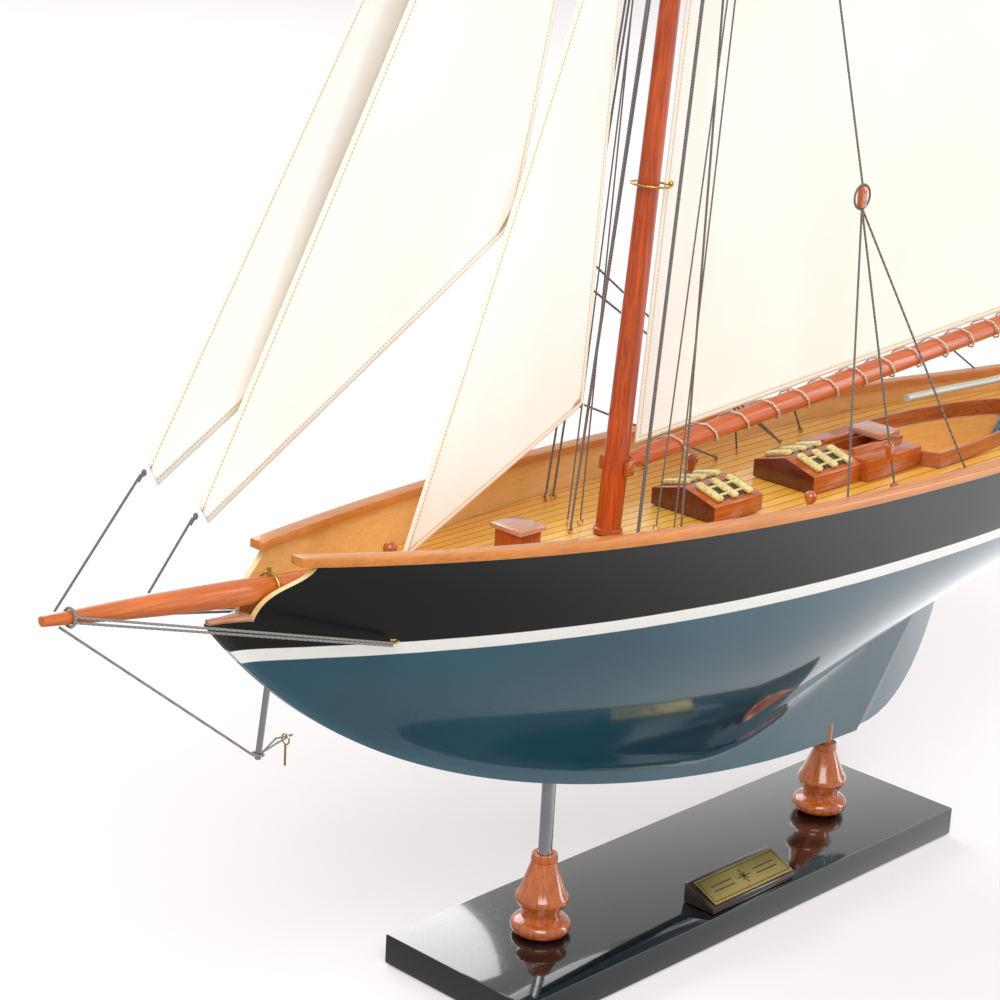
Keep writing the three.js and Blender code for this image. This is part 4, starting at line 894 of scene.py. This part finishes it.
def cut_sail(name, corners, belly, crease, blunt=(0, 0, 0)):
    """A hemmed sail between luff (first to last corner) and leech, bellied to one side.
    Three corners meet at the head; four have a gaff edge there. The foot starts at
    blunt from the tack."""
    tack, clew, peak = (Vector(c) for c in corners[:3])
    throat = Vector(corners[3]) if len(corners) > 3 else peak
    normal = (clew - tack).cross(peak - tack).normalized()
    if normal.y < 0:
        normal.negate()
    toe = tack + Vector(blunt)
    edges = [(toe, clew), (clew, peak), (throat, tack)] + ([(peak, throat)] if throat != peak else [])
    height = (throat - tack).length

    def spaced(length, count):
        scale = min(1.0, length / 16)
        near = [h * scale / length for h in HEM]
        inner = [near[-1] + (1 - 2 * near[-1]) * i / count for i in range(1, count)]
        return near + inner + [1 - n for n in reversed(near)]

    rows = spaced(height, 46)
    shape = bmesh.new()
    sides = {1: [], -1: []}
    for u in rows:
        luff, leech = tack.lerp(throat, u), clew.lerp(peak, u)
        luff += Vector(blunt) * max(0.0, 1 - u * height / HEM[-1])
        width = max((leech - luff).length, 0.6)
        if (leech - luff).length < 0.6:
            leech = luff + (clew - tack).normalized() * 0.6
        line = {1: [], -1: []}
        for w in spaced(width, 22):
            flat = luff.lerp(leech, w)
            distances = [along_line(flat, a, b) for a, b in edges]
            edge, run = min(distances)
            full = math.sin(math.pi * w) * math.sin(math.pi * min(1, u ** 0.8)) * belly
            full += 0.12 * belly * math.sin(math.pi * u)
            fade = math.sin(math.pi * w)
            strength = smoothstep(u, 0, 0.1) * math.exp(-u * 5) * 0.8 * crease
            pull = strength * math.sin(w * 17 + u * 9) * fade
            drape = crease * 0.35 * math.sin(u * 11 + w * 4) * fade * math.sin(math.pi * u)
            thick = 0.22 + 0.16 * (1 - smoothstep(edge, 2.3, 2.9))
            if edge < 0.05:
                thick = 0.2
            for face in (1, -1):
                point = flat + normal * (full + pull + drape + face * thick)
                line[face].append((point, edge, run, w, u))
        for face in (1, -1):
            sides[face].append(line[face])
    marks, runs, places = [], [], []

    def grid(face):
        made = []
        for row in sides[face]:
            made.append([])
            for point, edge, run, w, u in row:
                made[-1].append(shape.verts.new(point * MM))
                marks.append(edge)
                runs.append(run)
                places.append((w * (clew - tack).length * MM, u * height * MM))
        return made

    front, rear = grid(1), grid(-1)
    count, across = len(front), len(front[0])
    for i in range(count - 1):
        for j in range(across - 1):
            shape.faces.new((front[i][j], front[i][j + 1], front[i + 1][j + 1], front[i + 1][j]))
            shape.faces.new((rear[i][j], rear[i + 1][j], rear[i + 1][j + 1], rear[i][j + 1]))
        for j in (0, across - 1):
            shape.faces.new((front[i][j], front[i + 1][j], rear[i + 1][j], rear[i][j]))
    for i in (0, count - 1):
        for j in range(across - 1):
            shape.faces.new((front[i][j], rear[i][j], rear[i][j + 1], front[i][j + 1]))
    bmesh.ops.recalc_face_normals(shape, faces=shape.faces)
    mesh = bpy.data.meshes.new(name)
    shape.to_mesh(mesh)
    shape.free()
    mesh.attributes.new("hem_distance", "FLOAT", "POINT").data.foreach_set("value", marks)
    mesh.attributes.new("hem_run", "FLOAT", "POINT").data.foreach_set("value", runs)
    cloth_map = mesh.uv_layers.new(name="cloth")
    for loop in mesh.loops:
        cloth_map.data[loop.index].uv = places[loop.vertex_index]
    mesh.shade_smooth()
    piece = bpy.data.objects.new(name, mesh)
    bpy.context.scene.collection.objects.link(piece)
    mesh.materials.append(sailcloth)
    outline = [tack, clew, peak] + ([throat] if throat != peak else [])
    total = sum((outline[i].cross(outline[(i + 1) % len(outline)]) for i in range(len(outline))), Vector())
    flat_area = total.length / 2
    luff_way = (throat - tack).normalized()
    reaches = [(corner - tack).dot(luff_way) for corner in outline]
    spans = [(corner - tack - luff_way * reach).length for corner, reach in zip(outline, reaches)]
    return piece, (max(spans) * MM, (max(reaches) - min(reaches)) * MM), flat_area * MM * MM


sailcloth = sail_look()
HEM = (0.0, 1.2, 2.35, 2.85)
BOOM_TOP = 6.1
BOOM_Z = 202.2
MAST_FOOT_X, MAST_TOP = -65.6, 706
GAFF_Z = 452


def boom_z(x):
    return BOOM_Z + BOOM_RISE * (x - mast_x(BOOM_Z))


mast_foot = deck_z(MAST_FOOT_X) + 1.2 + 0.6


def mast_x(z):
    return MAST_FOOT_X + math.tan(MAST_RAKE) * (z - mast_foot)


mast_radius = 5 - 3 * ((GAFF_Z - mast_foot) / (MAST_TOP - mast_foot)) ** 0.8
gaff_start = Vector((mast_x(GAFF_Z) + mast_radius + 1.5, 0, GAFF_Z))
gaff_run = Vector((math.cos(GAFF_ANGLE), 0, math.sin(GAFF_ANGLE)))
LUFF_GAP = 9.9
luff_foot, luff_head = mast_x(210) + LUFF_GAP, mast_x(446) + LUFF_GAP
topsail_foot, topsail_clew = (gaff_start + gaff_run * reach + Vector((-3.4, 0, lift))
                              for reach, lift in ((9, 9), (204, 3.2)))
SAILS = (
    ("outer_jib", "jib_outer", "ship",
     ((-292, 0, 244.5), (-129.8, 8, 322), (-54, 2.7, 632)), 2.6, 0.7, (5.7, 0, -6.4)),
    ("inner_jib", "jib_inner", "ship",
     ((-270.5, 0, 225.5), (-124.6, 3, 302.6), (-68, -2.5, 601)), -1.6, 0.6, (5.5, 0, -4.6)),
    ("staysail", "fore_staysail", "ship",
     ((-176.6, 0, 187.6), (-80, 4, 228.4), (-75.4, 0, 445.5)), -1.8, 0.7),
    ("mainsail", "main_sail", "main",
     ((luff_foot, 0, boom_z(luff_foot) + BOOM_TOP), (288, 0, boom_z(288) + BOOM_TOP),
      tuple(gaff_start + gaff_run * 202 + Vector((3.6, 0, -2.9))), (luff_head, 0, 446)), 5.0, 1.1),
    ("topsail", "top_sail", "main",
     (tuple(topsail_foot), tuple(topsail_clew), (mast_x(690) + 7.9, 0, 690)), -2.0, 0.5),
)
for node, name, body, corners, *cut in SAILS:
    sail, flat, area = cut_sail(name, corners, *cut)
    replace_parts(ridden(sail, body), node)


# Thread: waxed grey-brown cord of twisted strands for the rigging, and pale cotton for
# the lacing along the boom. Each run is taut between its eye and its spar.
def thread_look(name, tone, dark, turn=0.0):
    look = Look(name, roughness=0.8, sheen_weight=0.15)
    twist = look.node("ShaderNodeTexWave", {"wave_type": "BANDS", "bands_direction": "DIAGONAL"},
                      {"Vector": look.place(), "Scale": 520.0, "Distortion": 1.5})
    fuzz = look.noise(look.place(), 1800.0, 3.0)
    # The colour is darker where the twist bands run low, in the grooves between strands: painted shade. The fuzz
    # adds real random tone.
    color = look.mix(twist * 0.6 + fuzz * 0.3, paint(dark), paint(tone))
    return look.finish(base_color=color, roughness=fuzz * 0.15 + 0.65,
                       normal=look.bump(twist + fuzz * 0.5, 0.0002))


grey_thread = thread_look("grey_thread", "8b8583", "534d4c")
bow_thread = thread_look("bow_thread", "a3a19d", "6b6866")
cotton = thread_look("cotton_thread", "f3ead6", "c9b996")
GREY = ("jib_halyards", "staysail_halyard", "fore_halyards", "port_shrouds", "starboard_shrouds",
        "runner_port", "runner_starboard", "jib_sheets", "staysail_sheet", "peak_halyard", "outer_jib_tack_line",
        "inner_jib_tack_line", "staysail_tack_line")
for node in GREY:
    body = "main" if node == "peak_halyard" else "ship"
    smooth_twin(node, node + "_thread", body, grey_thread, 60)
for node in ("bowsprit_stays", "bobstay"):
    smooth_twin(node, node + "_thread", "ship", bow_thread, 60)
smooth_twin("foot_lacing", "lacing", "main", cotton, 60)


# Mainsheet: one thread from under the boom to the starboard rail.
def taut_thread(name, points, radius, material):
    data = bpy.data.curves.new(name, "CURVE")
    data.dimensions = "3D"
    data.bevel_depth = radius
    data.bevel_resolution = 3
    data.use_fill_caps = True
    spline = data.splines.new("POLY")
    spline.points.add(len(points) - 1)
    for knot, point in zip(spline.points, points):
        knot.co = (*point, 1)
    made = bpy.data.objects.new(name, data)
    bpy.context.scene.collection.objects.link(made)
    bpy.ops.object.select_all(action="DESELECT")
    made.select_set(True)
    bpy.context.view_layer.objects.active = made
    bpy.ops.object.convert(target="MESH")
    made = bpy.context.object
    made.data.materials.append(material)
    made.data.shade_smooth()
    return made


BOOM_END = 300


def boom_radius(x):
    share = (x - mast_x(BOOM_Z)) / (BOOM_END - mast_x(BOOM_Z))
    return 4.5 * (0.78 + 0.22 * math.sin(math.pi * min(1, max(0, share))))


sheet_x, rail_x = 158, 237.5
sheet_top = Vector((sheet_x, 0, boom_z(sheet_x) - boom_radius(sheet_x) - 0.6)) * MM
sheet_foot = Vector((rail_x, sheer_half(236) - 1.6, sheer_z(236) + 4.6)) * MM
mainsheet = taut_thread("mainsheet_thread", [sheet_foot.lerp(sheet_top, i / 24) for i in range(25)],
                        0.45 * MM, grey_thread)
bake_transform(mainsheet)
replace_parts(mainsheet, "mainsheet")


# Knots and spare rigging: a dark knot at each headsail corner, and thinner threads that
# run from hooks on deck, before and behind the mast, up to the crosstrees.
def knot(place, size=1.0):
    bpy.ops.mesh.primitive_uv_sphere_add(segments=12, ring_count=8, radius=size * MM, location=place)
    ball = bpy.context.object
    ball.scale = (1, 0.8, 1.25)
    return ball


def knotted(node, corner):
    """A knot at a sail's corner, and the bit of thread between it and the line's end."""
    low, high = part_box(node)
    way = Vector((high.x - low.x, 0, high.z - low.z)).normalized()
    corner = Vector(corner) * MM
    end = corner - way * 4 * MM
    return [knot(corner - way * 0.6 * MM, 1.0), taut_thread("tail", [corner, end], 0.45 * MM, grey_thread)]


ties = knotted("outer_jib_tack_line", (-291.5, 0, 243.9)) + knotted("inner_jib_tack_line", (-270.0, 0, 224.9))
ties += knotted("staysail_tack_line", (-176.6, 0, 187.4))
CLEWS = ((-130.4, 7.8, 321.6), (-125.4, 3, 302.2), (-81, 4, 228.2))
ties += [knot(Vector(corner) * MM, 0.9) for corner in CLEWS]
ridden(joined("corner_knots", ties, grey_thread, 60), "ship")
crosstree_z = 543
spare = []
for (x, y), (back_by, out_by) in zip(FORE_FEET + AFT_FEET, ((-1.5, 22), (-3, 15), (1, -26), (5, -22))):
    foot = on_deck(x, y) + Vector((0, 0, 2 * MM))
    top = Vector((mast_x(crosstree_z) + 2.6 + back_by, out_by, crosstree_z)) * MM
    spare.append(taut_thread("spare", [foot, top], 0.33 * MM, grey_thread))
ridden(joined("spare_rigging", spare, grey_thread, 60), "ship")


# Runner blocks: small red-brown blocks, each held in a loop of thread where the runner
# divides into its three tails. Two black rings on each block, one for each hole, are painted shade.
def dress_block(side):
    low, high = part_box("runner_block_" + side)
    middle = (low + high) / 2
    bpy.ops.object.select_all(action="DESELECT")
    bpy.ops.mesh.primitive_cube_add(size=1, location=middle)
    shell = bpy.context.object
    shell.scale = (4.2 * MM, 2.6 * MM, 8.6 * MM)
    bpy.ops.object.transform_apply(location=False, rotation=False, scale=True)
    rounding = shell.modifiers.new("rounding", "BEVEL")
    rounding.width = 0.9 * MM
    rounding.segments = 3
    bpy.ops.object.modifier_apply(modifier="rounding")
    piece = ridden(joined("block_" + side, [shell], turned, 50), "ship")
    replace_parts(piece, "runner_block_" + side)
    # One black ring for each hole: painted shade inside the hole.
    hole_shade_rings = []
    for lift in (-2.1, 2.1):
        bpy.ops.mesh.primitive_torus_add(major_radius=0.62 * MM, minor_radius=0.3 * MM, major_segments=16,
                                         minor_segments=8, rotation=(math.pi / 2, 0, 0),
                                         location=middle + Vector((0, 0, lift)) * MM)
        ring = bpy.context.object
        ring.scale = (1, 1, 4.6)
        hole_shade_rings.append(ring)
    ridden(joined("block_hole_shade_rings_" + side, hole_shade_rings, black_fill_and_hole_shade, 50), "ship")


for side in ("port", "starboard"):
    dress_block(side)


# Tackle: two small wooden blocks threaded on the lower end of the port runner's middle
# tail, one above the other.
tail_foot = side_deck(TAIL_FEET[1][0], -1, TAIL_FEET[1][1])
tail_low, tail_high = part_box("runner_block_port")
tail_way = ((tail_low + tail_high) / 2 - tail_foot).normalized()
blocks = []
for reach, size in ((5.5, (3.4, 2.6, 8.5)), (24, (3.8, 2.8, 7))):
    bpy.ops.mesh.primitive_cube_add(size=1)
    block = bpy.context.object
    block.scale = [s * MM for s in size]
    bpy.ops.object.transform_apply(location=False, rotation=False, scale=True)
    rounding = block.modifiers.new("rounding", "BEVEL")
    rounding.width = 0.8 * MM
    rounding.segments = 2
    bpy.ops.object.modifier_apply(modifier="rounding")
    lean = Vector((0, 0, 1)).rotation_difference(tail_way).to_matrix().to_4x4()
    block.matrix_world = Matrix.Translation(tail_foot + tail_way * reach * MM) @ lean
    blocks.append(block)
ridden(joined("tackle_blocks", blocks, fitting_wood, 50), "ship")
